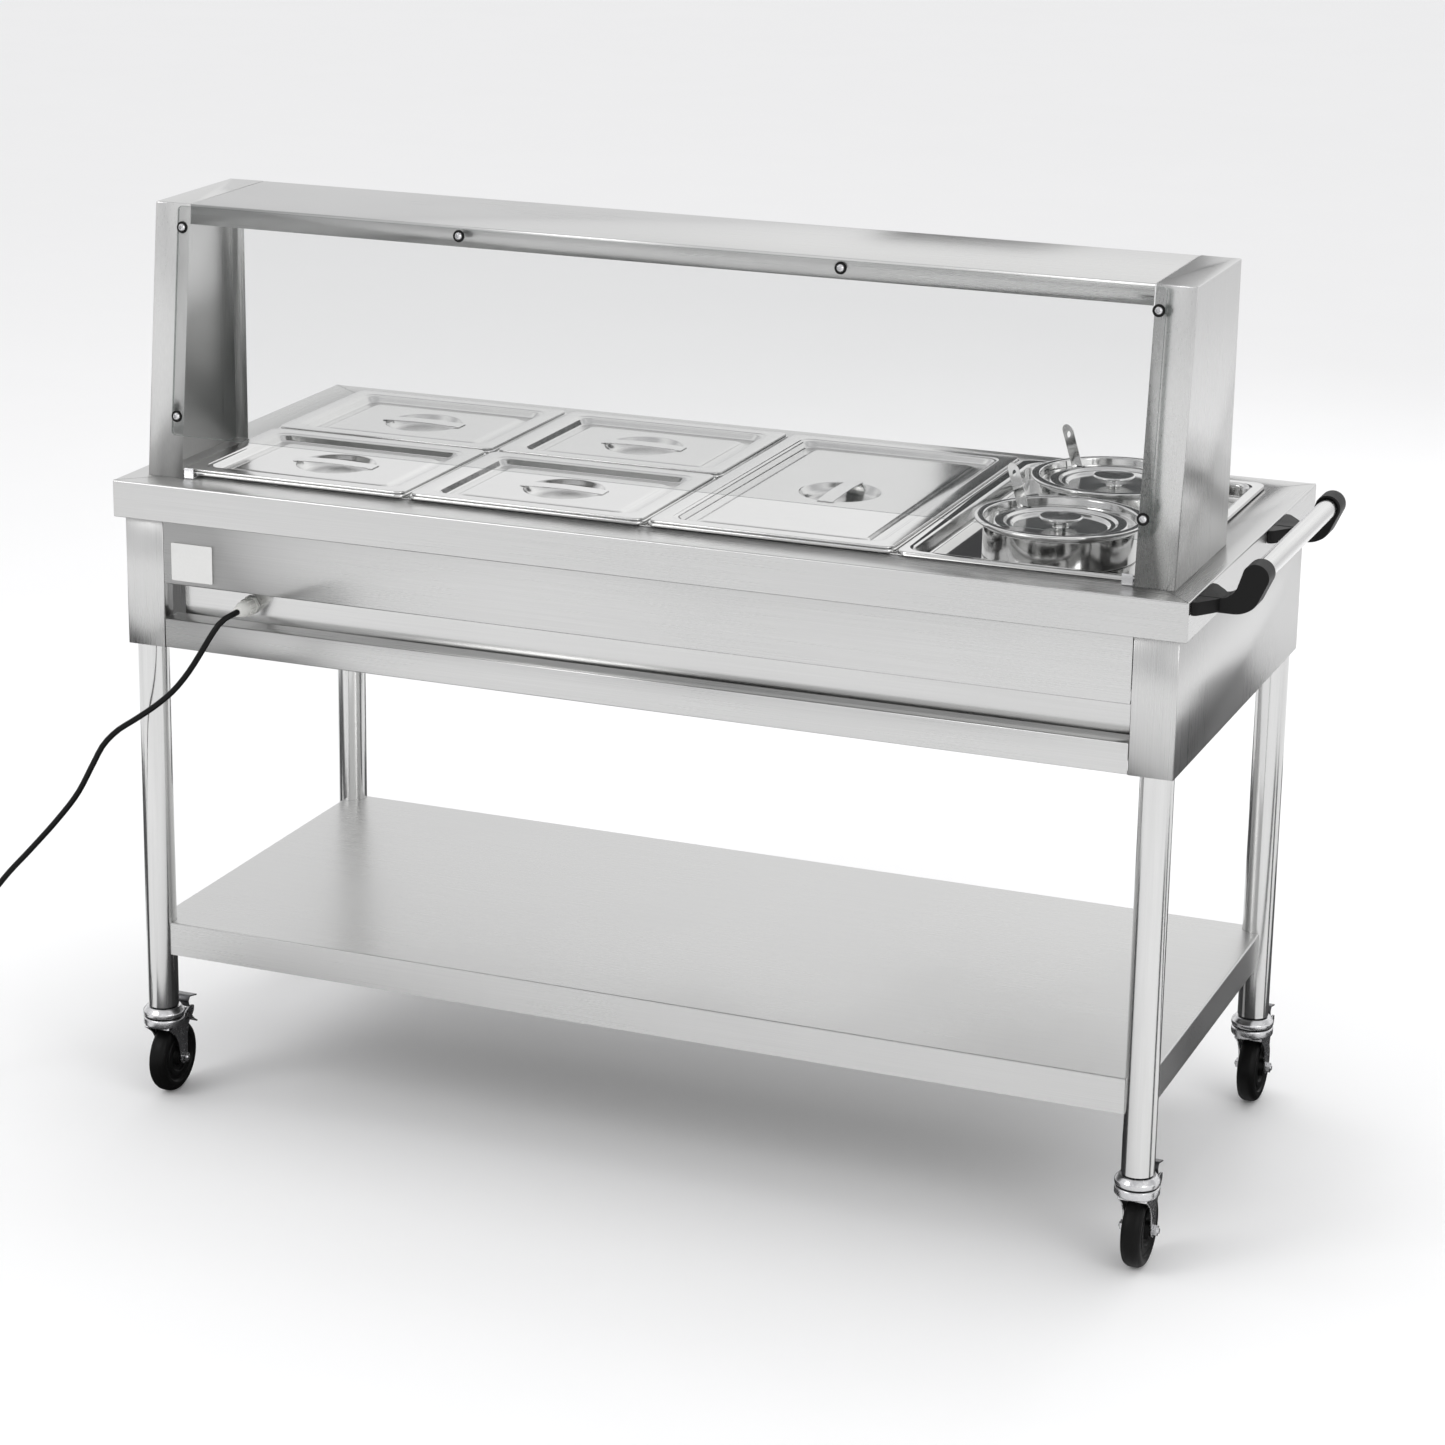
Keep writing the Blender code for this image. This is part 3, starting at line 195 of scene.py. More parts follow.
def node_material(name, colour, roughness, metallic, grain, fine, rough_spread, bump, depth, tint,
                  smudge_size, **sockets):
    """A Principled material whose colour, roughness and height vary with a fine grain and broad smudges."""
    material = bpy.data.materials.new(name)
    material.use_nodes = True
    tree = material.node_tree
    link = tree.links.new
    shader = tree.nodes["Principled BSDF"]
    place = tree.nodes.new("ShaderNodeTexCoord")
    stretch = tree.nodes.new("ShaderNodeMapping")
    stretch.inputs["Scale"].default_value = grain
    link(place.outputs["Object"], stretch.inputs["Vector"])

    lines = tree.nodes.new("ShaderNodeTexNoise")
    lines.inputs["Scale"].default_value = 1
    lines.inputs["Detail"].default_value = 3
    lines.inputs["Roughness"].default_value = 0.65
    link(stretch.outputs["Vector"], lines.inputs["Vector"])
    smudges = tree.nodes.new("ShaderNodeTexNoise")
    smudges.inputs["Scale"].default_value = smudge_size
    smudges.inputs["Detail"].default_value = 4
    link(place.outputs["Object"], smudges.inputs["Vector"])

    def ranged(source, middle, spread_down, spread_up):
        node = tree.nodes.new("ShaderNodeMapRange")
        node.inputs["From Min"].default_value = 0.3
        node.inputs["From Max"].default_value = 0.7
        node.inputs["To Min"].default_value = middle * (1 - spread_down)
        node.inputs["To Max"].default_value = middle * (1 + spread_up)
        link(source.outputs["Fac"], node.inputs["Value"])
        return node.outputs["Result"]

    def product(first, second):
        node = tree.nodes.new("ShaderNodeMath")
        node.operation = "MULTIPLY"
        link(first, node.inputs[0])
        link(second, node.inputs[1])
        return node.outputs["Value"]

    paint = tree.nodes.new("ShaderNodeVectorMath")
    paint.operation = "SCALE"
    paint.inputs[0].default_value = colour
    link(product(ranged(lines, 1, fine, fine), ranged(smudges, 1, tint, tint)), paint.inputs["Scale"])
    link(paint.outputs["Vector"], shader.inputs["Base Color"])
    worn = product(ranged(lines, 1, rough_spread, rough_spread), ranged(smudges, roughness, 0.12, 0.14))
    link(worn, shader.inputs["Roughness"])
    relief = tree.nodes.new("ShaderNodeBump")
    relief.inputs["Strength"].default_value = bump
    relief.inputs["Distance"].default_value = depth
    link(lines.outputs["Fac"], relief.inputs["Height"])
    link(relief.outputs["Normal"], shader.inputs["Normal"])
    shader.inputs["Metallic"].default_value = metallic
    for socket, value in sockets.items():
        shader.inputs[socket.replace("_", " ")].default_value = value
    return material


def finish(slot, name, colour, *settings, **sockets):
    """A material with the record's slot that it belongs to."""
    return node_material(name, colour, *settings, **sockets), slot


def steel(slot, name, grain, roughness=0.29, colour=(0.60, 0.60, 0.595), fine=0.045, bump=0.03,
          smudge_size=3):
    return finish(slot, name, colour, roughness, 1, grain, fine, 0.1, bump, 0.0002, 0.03, smudge_size)


def even(scale):
    """The same grain in all directions."""
    return (scale, scale, scale)


ALONG, ACROSS = 4, 900
TUBE_STEEL = (0.66, 0.66, 0.655)
LOOKS = {
    "brushed_x": steel("brushed_steel", "steel_brushed_x", (ALONG, ACROSS, ACROSS)),
    "brushed_y": steel("brushed_steel", "steel_brushed_y", (ACROSS, ALONG, ACROSS)),
    "brushed_z": steel("brushed_steel", "steel_brushed_z", (ACROSS, ACROSS, ALONG)),
    "casing": steel("brushed_steel", "steel_casing", (ALONG, ACROSS, ACROSS), 0.15),
    "polished": steel("polished_steel", "steel_polished", even(90), 0.13, (0.70, 0.70, 0.695), 0.02, 0.03, 9),
    "lid": steel("polished_steel", "steel_lid", even(60), 0.19, (0.68, 0.68, 0.675), 0.02, 0.04, 7),
    "mirror": steel("polished_steel", "steel_mirror", even(60), 0.06, TUBE_STEEL, 0.02, 0.02, 7),
    "tube": steel("polished_steel", "steel_tube", (300, 300, 6), 0.15, TUBE_STEEL, 0.04, 0.06),
    "tube_y": steel("polished_steel", "steel_tube_y", (300, 6, 300), 0.15, TUBE_STEEL, 0.04, 0.06),
    "seam": finish(
        "brushed_steel", "seam_weld", (0.20, 0.20, 0.20), 0.5, 1, even(300), 0.2, 0.2, 0.1, 0.0002, 0.1, 60),
    "zinc": finish(
        "zinc", "zinc_plate", (0.66, 0.66, 0.67), 0.24, 1, even(260), 0.07, 0.2, 0.12, 0.0002, 0.08, 40),
    "dark_zinc": finish(
        "zinc", "zinc_worn", (0.11, 0.11, 0.115), 0.30, 1, even(240), 0.1, 0.2, 0.15, 0.0002, 0.12, 50),
    "plastic": finish(
        "black_plastic", "plastic_black", (0.006, 0.006, 0.006), 0.42, 0, even(900), 0.12, 0.15, 0.25, 0.0002,
        0.10, 20, Specular_IOR_Level=0.16),
    "rubber": finish(
        "rubber", "rubber_tyre", (0.004, 0.004, 0.004), 0.42, 0, even(420), 0.15, 0.15, 0.2, 0.0002,
        0.15, 30, Specular_IOR_Level=0.12),
    "cord": finish(
        "cord_rubber", "cord_sheath", (0.004, 0.004, 0.004), 0.34, 0, even(500), 0.12, 0.12, 0.12, 0.0001,
        0.12, 25, Specular_IOR_Level=0.15),
    "nylon": finish(
        "white_plastic", "nylon_white", (0.74, 0.74, 0.71),
        0.36, 0, even(500), 0.03, 0.1, 0.1, 0.0001, 0.03, 30),
    "label": finish(
        "white_plastic", "label_blank", (0.66, 0.66, 0.65),
        0.42, 0, even(300), 0.015, 0.1, 0.05, 0.0001, 0.02, 20),
    "brass": finish(
        "brass", "brass_machined", (0.62, 0.45, 0.20),
        0.28, 1, (60, 400, 60), 0.06, 0.2, 0.15, 0.0002, 0.08, 40),
    "glass": finish(
        "glass", "acrylic_pane", (0.10, 0.112, 0.108), 0.03, 0, even(40), 0.01, 0.02, 0.002, 0.00005, 0.03, 3,
        Alpha=0.085, IOR=1.49),
    "glass_edge": finish(
        "glass", "acrylic_edge", (0.13, 0.16, 0.15), 0.20, 0, even(300), 0.05, 0.1, 0.05, 0.0001, 0.05, 30,
        Alpha=0.60, IOR=1.49),
}


# ---------------------------------------------------------------- shapes

def box_shape(low, high):
    shape = bmesh.new()
    size = Vector(high) - Vector(low)
    middle = (Vector(high) + Vector(low)) / 2
    matrix = Matrix.Translation(middle) @ Matrix.Diagonal((*size, 1))
    bmesh.ops.create_cube(shape, size=1, matrix=matrix)
    return shape


def new_object(name, data):
    obj = bpy.data.objects.new(name, data)
    bpy.context.scene.collection.objects.link(obj)
    return obj


def moved(shape, way):
    bmesh.ops.translate(shape, verts=shape.verts, vec=way)
    return shape


def turned(shape, angle, axis):
    bmesh.ops.transform(shape, verts=shape.verts, matrix=Matrix.Rotation(angle, 4, axis))
    return shape


def prism_shape(outline, low, high, axis):
    """An outline in the two other axes, in X, Y, Z order, drawn out along axis from low to high."""
    shape = bmesh.new()

    def point(pair, along):
        values = list(pair)[:2]
        values.insert(axis, along)
        return Vector(values)

    lower = [shape.verts.new(point(pair, low)) for pair in outline]
    upper = [shape.verts.new(point(pair, high)) for pair in outline]
    shape.faces.new(lower)
    shape.faces.new(upper)
    for i in range(len(outline)):
        j = (i + 1) % len(outline)
        shape.faces.new((lower[i], lower[j], upper[j], upper[i]))
    bmesh.ops.recalc_face_normals(shape, faces=shape.faces)
    return shape


def turned_shape(profile, segments, axis="Z"):
    """A solid turned from (radius, height) points, closed in itself or at two ends on the axis."""
    shape = bmesh.new()
    rings = []
    for radius, height in profile:
        count = segments if radius > 1e-6 else 1
        angles = [math.tau * i / segments for i in range(count)]
        rings.append([shape.verts.new((radius * math.cos(a), radius * math.sin(a), height)) for a in angles])
    pairs = list(zip(rings, rings[1:]))
    if profile[0][0] > 1e-6:
        pairs.append((rings[-1], rings[0]))
    for lower, upper in pairs:
        for i in range(segments):
            j = (i + 1) % segments
            corners = [lower[i % len(lower)], lower[j % len(lower)]]
            corners += [upper[j % len(upper)], upper[i % len(upper)]]
            shape.faces.new(list(dict.fromkeys(corners)))
    bmesh.ops.recalc_face_normals(shape, faces=shape.faces)
    if axis == "X":
        turned(shape, math.pi / 2, "Y")
    if axis == "Y":
        turned(shape, -math.pi / 2, "X")
    return shape


def rod_shape(radius, low, high, segments, axis="Z"):
    """A plain round or many-sided rod, for holes, pins and nuts."""
    return turned_shape([(0, low), (radius, low), (radius, high), (0, high)], segments, axis)


def rounded(points, radius, steps=3, closed=False):
    """The same line with each corner eased into a short curve."""
    points = [Vector(point) for point in points]
    if closed:
        corners = list(zip([points[-1]] + points[:-1], points, points[1:] + [points[0]]))
        eased = []
    else:
        corners = list(zip(points, points[1:], points[2:]))
        eased = [points[0]]
    for before, corner, after in corners:
        reach = min(radius, (before - corner).length * 0.45, (after - corner).length * 0.45)
        start = corner + (before - corner).normalized() * reach
        end = corner + (after - corner).normalized() * reach
        for i in range(steps + 1):
            t = i / steps
            eased.append(start.lerp(corner, t).lerp(corner.lerp(end, t), t))
    if not closed:
        eased.append(points[-1])
    return eased


def sheet_shape(points, faces, up):
    """The outer faces of folded sheet metal. up is the way that the first face looks."""
    shape = bmesh.new()
    corners = [shape.verts.new(point) for point in points]
    for face in faces:
        shape.faces.new([corners[i] for i in face])
    bmesh.ops.recalc_face_normals(shape, faces=shape.faces)
    shape.faces.ensure_lookup_table()
    if shape.faces[0].normal.dot(Vector(up)) < 0:
        bmesh.ops.reverse_faces(shape, faces=shape.faces)
    return shape


def rounded_ring(half_x, half_y, radius, height, steps=8):
    points = []
    for quarter, (sx, sy) in enumerate(((1, 1), (-1, 1), (-1, -1), (1, -1))):
        for i in range(steps + 1):
            angle = math.pi / 2 * (quarter + i / steps)
            points.append(Vector((
                sx * (half_x - radius) + radius * math.cos(angle),
                sy * (half_y - radius) + radius * math.sin(angle),
                height,
            )))
    return points


def round_ring(count, radius, height):
    angles = [math.tau * (i + 0.5) / count for i in range(count)]
    return [Vector((radius * math.cos(angle), radius * math.sin(angle), height)) for angle in angles]


def pressed_shape(rings):
    """A pressed tray's upper face: rings from its outer lip inwards, closed at the last one."""
    shape = bmesh.new()
    loops = [[shape.verts.new(point) for point in ring] for ring in rings]
    count = len(rings[0])
    for outer, inner in zip(loops, loops[1:]):
        for i in range(count):
            j = (i + 1) % count
            shape.faces.new((outer[i], outer[j], inner[j], inner[i]))
    shape.faces.new(loops[-1])
    bmesh.ops.recalc_face_normals(shape, faces=shape.faces)
    shape.faces.ensure_lookup_table()
    if shape.faces[-1].normal.z < 0:
        bmesh.ops.reverse_faces(shape, faces=shape.faces)
    return shape


def strip_outline(path, thickness):
    """The outline of a bent strip: its path, and the path moved sideways by the thickness."""
    path = [Vector(point).to_2d() for point in path]
    offset = []
    for i, point in enumerate(path):
        before = (point - path[i - 1]).normalized() if i else None
        after = (path[i + 1] - point).normalized() if i + 1 < len(path) else None
        before = before or after
        after = after or before
        along = (before + after).normalized()
        offset.append(point + Vector((-along.y, along.x)) * thickness / max(along.dot(after), 0.5))
    return path + offset[::-1]


def smooth_points(route, spacing):
    """Points at even steps along a smooth curve through the route (centripetal Catmull-Rom)."""
    route = [Vector(point) for point in route]
    ends = [2 * route[0] - route[1], *route, 2 * route[-1] - route[-2]]
    dense = []
    for a, b, c, d in zip(ends, ends[1:], ends[2:], ends[3:]):
        knots = [0]
        for p, q in ((a, b), (b, c), (c, d)):
            knots.append(knots[-1] + math.sqrt((q - p).length))
        for i in range(24):
            t = knots[1] + (knots[2] - knots[1]) * i / 24
            ab = a.lerp(b, (t - knots[0]) / (knots[1] - knots[0]))
            bc = b.lerp(c, (t - knots[1]) / (knots[2] - knots[1]))
            cd = c.lerp(d, (t - knots[2]) / (knots[3] - knots[2]))
            abc = ab.lerp(bc, (t - knots[0]) / (knots[2] - knots[0]))
            bcd = bc.lerp(cd, (t - knots[1]) / (knots[3] - knots[1]))
            dense.append(abc.lerp(bcd, (t - knots[1]) / (knots[2] - knots[1])))
    dense.append(route[-1])
    points = [dense[0]]
    for point in dense[1:-1]:
        if (point - points[-1]).length >= spacing:
            points.append(point)
    if (dense[-1] - points[-1]).length < spacing / 2:
        points.pop()
    return points + [dense[-1]]


# ---------------------------------------------------------------- pieces

def blend_edges(obj, width, segments=2):
    modifier = obj.modifiers.new("edges", "BEVEL")
    modifier.width = width
    modifier.segments = segments
    modifier.limit_method = "ANGLE"
    modifier.angle_limit = math.radians(30)
    modifier.harden_normals = True


def mesh_from(name, shape, sharp=32):
    bmesh.ops.remove_doubles(shape, verts=shape.verts, dist=1e-6)
    mesh = bpy.data.meshes.new(name)
    shape.to_mesh(mesh)
    shape.free()
    mesh.shade_smooth()
    mesh.set_sharp_from_angle(angle=math.radians(sharp))
    return mesh


def piece(name, shape, look, body="unit", replaces=(), at=(0, 0, 0), fold=0, thickness=0, edge=0,
          turn=None, cutters=(), sharp=32):
    """Makes a piece of the object from a shape, in place, on its body and in its material."""
    if turn:
        bmesh.ops.transform(shape, matrix=turn, verts=shape.verts)
    obj = new_object(name, mesh_from(name, moved(shape, CENTRE + Vector(at)), sharp))
    if fold:
        blend_edges(obj, fold, 3)
    if thickness:
        modifier = obj.modifiers.new("thickness", "SOLIDIFY")
        modifier.thickness = thickness
        modifier.offset = -1
        modifier.use_even_offset = True
    for cutter in cutters:
        cut(obj, cutter)
    if edge:
        blend_edges(obj, edge)
    material, slot = LOOKS[look]
    obj.data.materials.clear()
    obj.data.materials.append(material)
    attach(obj, body)
    if replaces:
        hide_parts(*replaces)
    return obj


def cut(obj, cutter):
    """Cuts a shape, given from the middle of the counter, out of a piece and keeps the result as its mesh."""
    tool = new_object("tool", mesh_from("tool", moved(cutter, CENTRE)))
    modifier = obj.modifiers.new("cut", "BOOLEAN")
    modifier.operation = "DIFFERENCE"
    modifier.object = tool
    bpy.context.view_layer.update()
    graph = bpy.context.evaluated_depsgraph_get()
    result = bpy.data.meshes.new_from_object(obj.evaluated_get(graph))
    obj.modifiers.clear()
    obj.data = result
    obj.data.shade_smooth()
    obj.data.set_sharp_from_angle(angle=math.radians(32))
    bpy.data.objects.remove(tool)


def dress(name, look):
    """Gives a CAD node that stays its material, and joins its facets' points."""
    obj = nodes[name]
    obj.data.materials.clear()
    obj.data.materials.append(LOOKS[look][0])
    weld = obj.modifiers.new("weld", "WELD")
    weld.merge_threshold = 0.00001


def screw(name, body, at, normal, radius=0.0062, look="zinc", washer=0.0085):
    """A button-head screw with a hex recess, on a dark washer, its head looking along normal."""
    turn = Vector((0, 0, 1)).rotation_difference(Vector(normal)).to_matrix().to_4x4()
    head = [(0.0022, 0.0008), (0.0026, 0.0040), (radius * 0.62, 0.0038), (radius, 0.0020), (radius, 0)]
    head = [(0, 0.0008), *rounded(head, 0.001, 2), (0, 0)]
    piece(name, turned_shape(head, 28), look, body, at=at, turn=turn)
    if washer:
        ring = [(radius * 0.6, -0.0002), (radius * 0.6, 0.0006), (washer, 0.0006), (washer, -0.0002)]
        piece(name + "_washer", turned_shape(ring, 32), "plastic", body, at=at, turn=turn)


# ---------------------------------------------------------------- camera and cord

def add_camera():
    """A long lens from the customers' side, a little above the guard and to the right."""
    right = Vector((0.9172, 0.3986, 0.0054))
    up = Vector((-0.1174, 0.2574, 0.9592))
    back = right.cross(up)
    data = bpy.data.cameras.new("camera")
    data.sensor_width = 36
    data.lens = 95.46
    data.shift_x = 0.0911
    data.shift_y = -0.0453
    data.clip_end = 60
    camera = new_object("camera", data)
    turn = Matrix((right, up, back)).transposed().to_4x4()
    camera.matrix_world = Matrix.Translation(CENTRE + Vector((1.806, -4.586, 2.090))) @ turn
    bpy.context.scene.camera = camera


def coil_points():
    """Two turns side by side on the floor and a last part turn on top, ending towards the plug."""
    (outer, low), (inner, _), (middle, high) = COIL_TURNS
    start, total = math.radians(72), math.radians(270 - 72) + 2 * math.tau
    count = round(COIL_POINTS * total / math.tau)
    points = []
    for i in range(count + 1):
        swept = total * i / count
        share = swept / math.tau
        if share < 1:
            radius, height = outer, low
            late = max(0, (share - 0.8) / 0.2)
            radius += (inner - outer) * late * late * (3 - 2 * late)
        elif share < 2:
            late = max(0, (share - 1.7) / 0.3)
            ease = late * late * (3 - 2 * late)
            radius = inner + (middle - inner) * ease
            height = low + (high - low) * ease
        else:
            radius, height = middle, high
        x = COIL_CENTRE[0] + radius * math.cos(start + swept)
        y = COIL_CENTRE[1] + radius * math.sin(start + swept)
        points.append(Vector((x, y, height)))
    return points


def add_cord():
    """The mains lead: out of the gland, down past the left leg to the floor, and into a small coil."""
    entry = Vector((COIL_CENTRE[0] + 0.0365, COIL_CENTRE[1] - 0.0450, 0.0160))
    points = smooth_points([Vector(p) for p in CORD_ROUTE], 0.012) + coil_points()
    points += [entry + Vector((-0.014, 0, -0.0008)), entry + Vector((0.002, 0, 0))]
    points = [point + CENTRE for point in points]
    curve = bpy.data.curves.new("cord_lead", "CURVE")
    curve.dimensions = "3D"
    curve.bevel_depth = CORD_RADIUS
    curve.bevel_resolution = 5
    curve.use_fill_caps = True
    spline = curve.splines.new("POLY")
    spline.points.add(len(points) - 1)
    for target, point in zip(spline.points, points):
        target.co = (*point, 1)
    spline.use_smooth = True
    lead = new_object("cord_lead", curve)
    curve.materials.append(LOOKS["cord"][0])
    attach(lead, "unit")
    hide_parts("power_cord", "cord_coil")

    profile = [
        (0.0048, 0), (0.0060, 0.004), (0.0052, 0.006), (0.0062, 0.009), (0.0054, 0.011), (0.0066, 0.014),
        (0.0058, 0.016), (0.0072, 0.020), (0.0135, 0.024), (0.0152, 0.029), (0.0155, PLUG_LENGTH - 0.002),
        (0.0145, PLUG_LENGTH),
    ]
    profile = [(0, 0), *rounded(profile, 0.0012, 2), (0, PLUG_LENGTH)]
    at = tuple(entry)
    plug = piece("cord_plug_body", turned_shape(profile, 40, "X"), "plastic", replaces=["plug"], at=at)
    places = (("a", -0.0063, 0.003, 0.0008), ("b", 0.0063, 0.003, 0.0008), ("c", 0, -0.0075, 0.0023))
    for name, y, z, half_y in places:
        low = (PLUG_LENGTH - 0.001, y - half_y, z - 0.003)
        high = (PLUG_LENGTH + 0.0165, y + half_y, z + 0.003)
        piece(f"cord_plug_pin_{name}", box_shape(low, high), "brass", at=at, edge=0.0004)


# ---------------------------------------------------------------- floor and light

def add_stage():
    """A matt pale floor, and dark cards that the steel mirrors."""
    shape = bmesh.new()
    bmesh.ops.create_grid(shape, x_segments=8, y_segments=8, size=14)
    floor = new_object("floor", mesh_from("floor", moved(shape, (0, 0, -0.0004))))
    floor.data.materials.append(node_material(
        "floor_pale", (0.95, 0.95, 0.95), 0.6, 0, even(3), 0.004, 0.05, 0.02, 0.0005, 0.004, 0.5,
        Specular_IOR_Level=0,
    ))

    dark = node_material("card_dark", (0.05, 0.05, 0.052), 0.8, 0, even(3), 0.05, 0.05, 0.02, 0.0005,
                         0.05, 0.5)
    cards = (
        ("card_left", (-1.75, -1.15), 50, 0.10, 0.8, 1.5),
        ("card_right", (1.75, -0.95), -62, 0.08, 0.8, 1.5),
        ("card_behind", (0.08, 1.2), 0, 0.20, 1.05, 1.55),
    )
    for name, (x, y), angle, half, low, high in cards:
        shape = turned(box_shape((-half, -0.01, low), (half, 0.01, high)), math.radians(angle), "Z")
        add_card(name, moved(shape, (x, y, 0)), dark)
    for corner, place in CORNERS.items():
        foot = Vector(place) + CENTRE.xy
        for angle, half_width in LEG_STRIPES:
            sides = (math.radians(angle - half_width), math.radians(angle + half_width))
            ends = [foot + STRIPE_LENGTH * Vector((math.cos(a), math.sin(a))) for a in sides]
            add_card(f"stripe_{corner}_{angle}", prism_shape([foot, *ends], 0, 0.0002, 2), dark)


def add_card(name, shape, look):
    """A dark card that only reflections see."""
    card = new_object(name, mesh_from(name, shape))
    card.data.materials.append(look)
    card.visible_camera = False
    card.visible_diffuse = False
    card.visible_shadow = False
    card.visible_transmission = False


def add_light():
    world = bpy.data.worlds.new("studio")
    bpy.context.scene.world = world
    world.use_nodes = True
    tree = world.node_tree
    link = tree.links.new
    background = tree.nodes["Background"]
    place = tree.nodes.new("ShaderNodeTexCoord")
    patches = tree.nodes.new("ShaderNodeTexNoise")
    patches.inputs["Scale"].default_value = 1.6
    patches.inputs["Detail"].default_value = 1
    link(place.outputs["Generated"], patches.inputs["Vector"])
    soft = tree.nodes.new("ShaderNodeValToRGB")
    soft.color_ramp.elements[0].position = 0.35
    soft.color_ramp.elements[0].color = (0.60, 0.60, 0.61, 1)
    soft.color_ramp.elements[1].position = 0.65
    soft.color_ramp.elements[1].color = (1.0, 1.0, 1.0, 1)
    link(patches.outputs["Fac"], soft.inputs["Fac"])
    eye = tree.nodes.new("ShaderNodeLightPath")
    mixed = tree.nodes.new("ShaderNodeMix")
    mixed.data_type = "RGBA"
    link(eye.outputs["Is Camera Ray"], mixed.inputs["Factor"])
    link(soft.outputs["Color"], mixed.inputs[6])
    mixed.inputs[7].default_value = (1, 1, 1, 1)
    link(mixed.outputs[2], background.inputs["Color"])
    background.inputs["Strength"].default_value = 1.16

    lights = (
        ("key", (-2.6, -3.6, 3.6), (0, 0, 0.7), 2.2, 46, True),
        ("fill", (3.6, -2.4, 2.6), (0, 0, 0.6), 1.8, 20, True),
        ("top", (0.2, 0.6, 3.8), (0, 0, 0.8), 2.4, 24, False),
        ("back", (0.6, 3.8, 2.6), (0, 0, 0.7), 1.8, 20, False),
    )
    for name, where, target, size, power, mirrored in lights:
        data = bpy.data.lights.new(name, "AREA")
        data.shape = "DISK"
        data.size = size
        data.energy = power
        lamp = new_object(name, data)
        lamp.location = where
        lamp.visible_glossy = mirrored
        aim = Vector(target) - Vector(where)
        lamp.rotation_euler = aim.to_track_quat("-Z", "Y").to_euler()
    bpy.context.scene.view_settings.view_transform = "Standard"
    bpy.context.scene.view_settings.look = "None"


# ---------------------------------------------------------------- counter and body

def square(half_x, half_y, centre=(0, 0)):
    return [
        (centre[0] + sx * half_x, centre[1] + sy * half_y) for sx, sy in ((-1, -1), (1, -1), (1, 1), (-1, 1))
    ]


def add_counter():
    """The top in four mitred strips of their own grain, a folded fascia, and the mitre welds."""
    opening = square(CASING_LENGTH / 2 - 2 * SHEET, OPENING_DEPTH / 2, (WELL_X, WELL_Y))
    corners = square(COUNTER_END, COUNTER_EDGE)
    returned = square(BODY_END + GAP, BODY_FACE + GAP)
    points = [(x, y, COUNTER_TOP) for x, y in opening + corners]
    points += [(x, y, FASCIA_BOTTOM) for x, y in corners + returned]
    faces = []
    for i in range(4):
        j = (i + 1) % 4
        faces.append((i, j, 4 + j, 4 + i))
        faces.append((4 + i, 4 + j, 8 + j, 8 + i))
        faces.append((8 + i, 8 + j, 12 + j, 12 + i))
    top = piece(
        "counter_skin", sheet_shape(points, faces, (0, 0, 1)), "brushed_x", replaces=["counter_top"],
        fold=0.0022, thickness=SHEET,
    )
    top.data.materials.append(LOOKS["brushed_y"][0])
    for face in top.data.polygons:
        at = face.center - CENTRE
        past_x = abs(at.x) - COUNTER_END
        past_y = abs(at.y) - COUNTER_EDGE
        if past_x > past_y:
            face.material_index = 1
    for number, ((x0, y0), (x1, y1)) in enumerate(zip(opening, corners), 1):
        start, end = Vector((x0, y0)), Vector((x1, y1))
        along = (end - start).normalized()
        side = Vector((-along.y, along.x)) * 0.0004
        end = end - along * 0.002
        seam = prism_shape([start + side, end + side, end - side, start - side],
                           COUNTER_TOP - 0.0002, COUNTER_TOP + 0.00006, 2)
        piece(f"counter_mitre_{number}", seam, "seam")


def add_end_panel(name, side):
    flange_end = PANEL_END + PANEL_SEAM
    outline = [
        (flange_end, -BODY_FACE + CORNER_RETURN),
        (flange_end, -BODY_FACE),
        (BODY_END, -BODY_FACE),
        (BODY_END, BODY_FACE),
        (flange_end, BODY_FACE),
        (flange_end, BODY_FACE - CORNER_RETURN),
    ]
    points = [(side * x, y, BODY_BOTTOM) for x, y in outline]
    points += [(side * x, y, UNDER_COUNTER) for x, y in outline]
    count = len(outline)
    faces = [(i, i + 1, count + i + 1, count + i) for i in (2, 0, 1, 3, 4)]
    piece(
        f"body_end_{name}", sheet_shape(points, faces, (side, 0, 0)), "brushed_z",
        replaces=[f"{name}_end_panel"], fold=0.0016, thickness=SHEET,
    )


def add_long_panel(name, node, face_y, low, high, low_fold, high_fold, cutters=()):
    inward = -1 if face_y > 0 else 1
    low = low + GAP
    folded_low, folded_high = face_y + inward * low_fold, face_y + inward * high_fold
    section = [(folded_low, low), (face_y, low), (face_y, high), (folded_high, high)]
    points = [(-PANEL_END, y, z) for y, z in section] + [(PANEL_END, y, z) for y, z in section]
    faces = [(i, i + 1, 5 + i, 4 + i) for i in (1, 0, 2)]
    shape = sheet_shape(points, faces, (0, -inward, 0))
    piece(name, shape, "brushed_x", replaces=[node], fold=0.0014, thickness=SHEET, cutters=cutters)


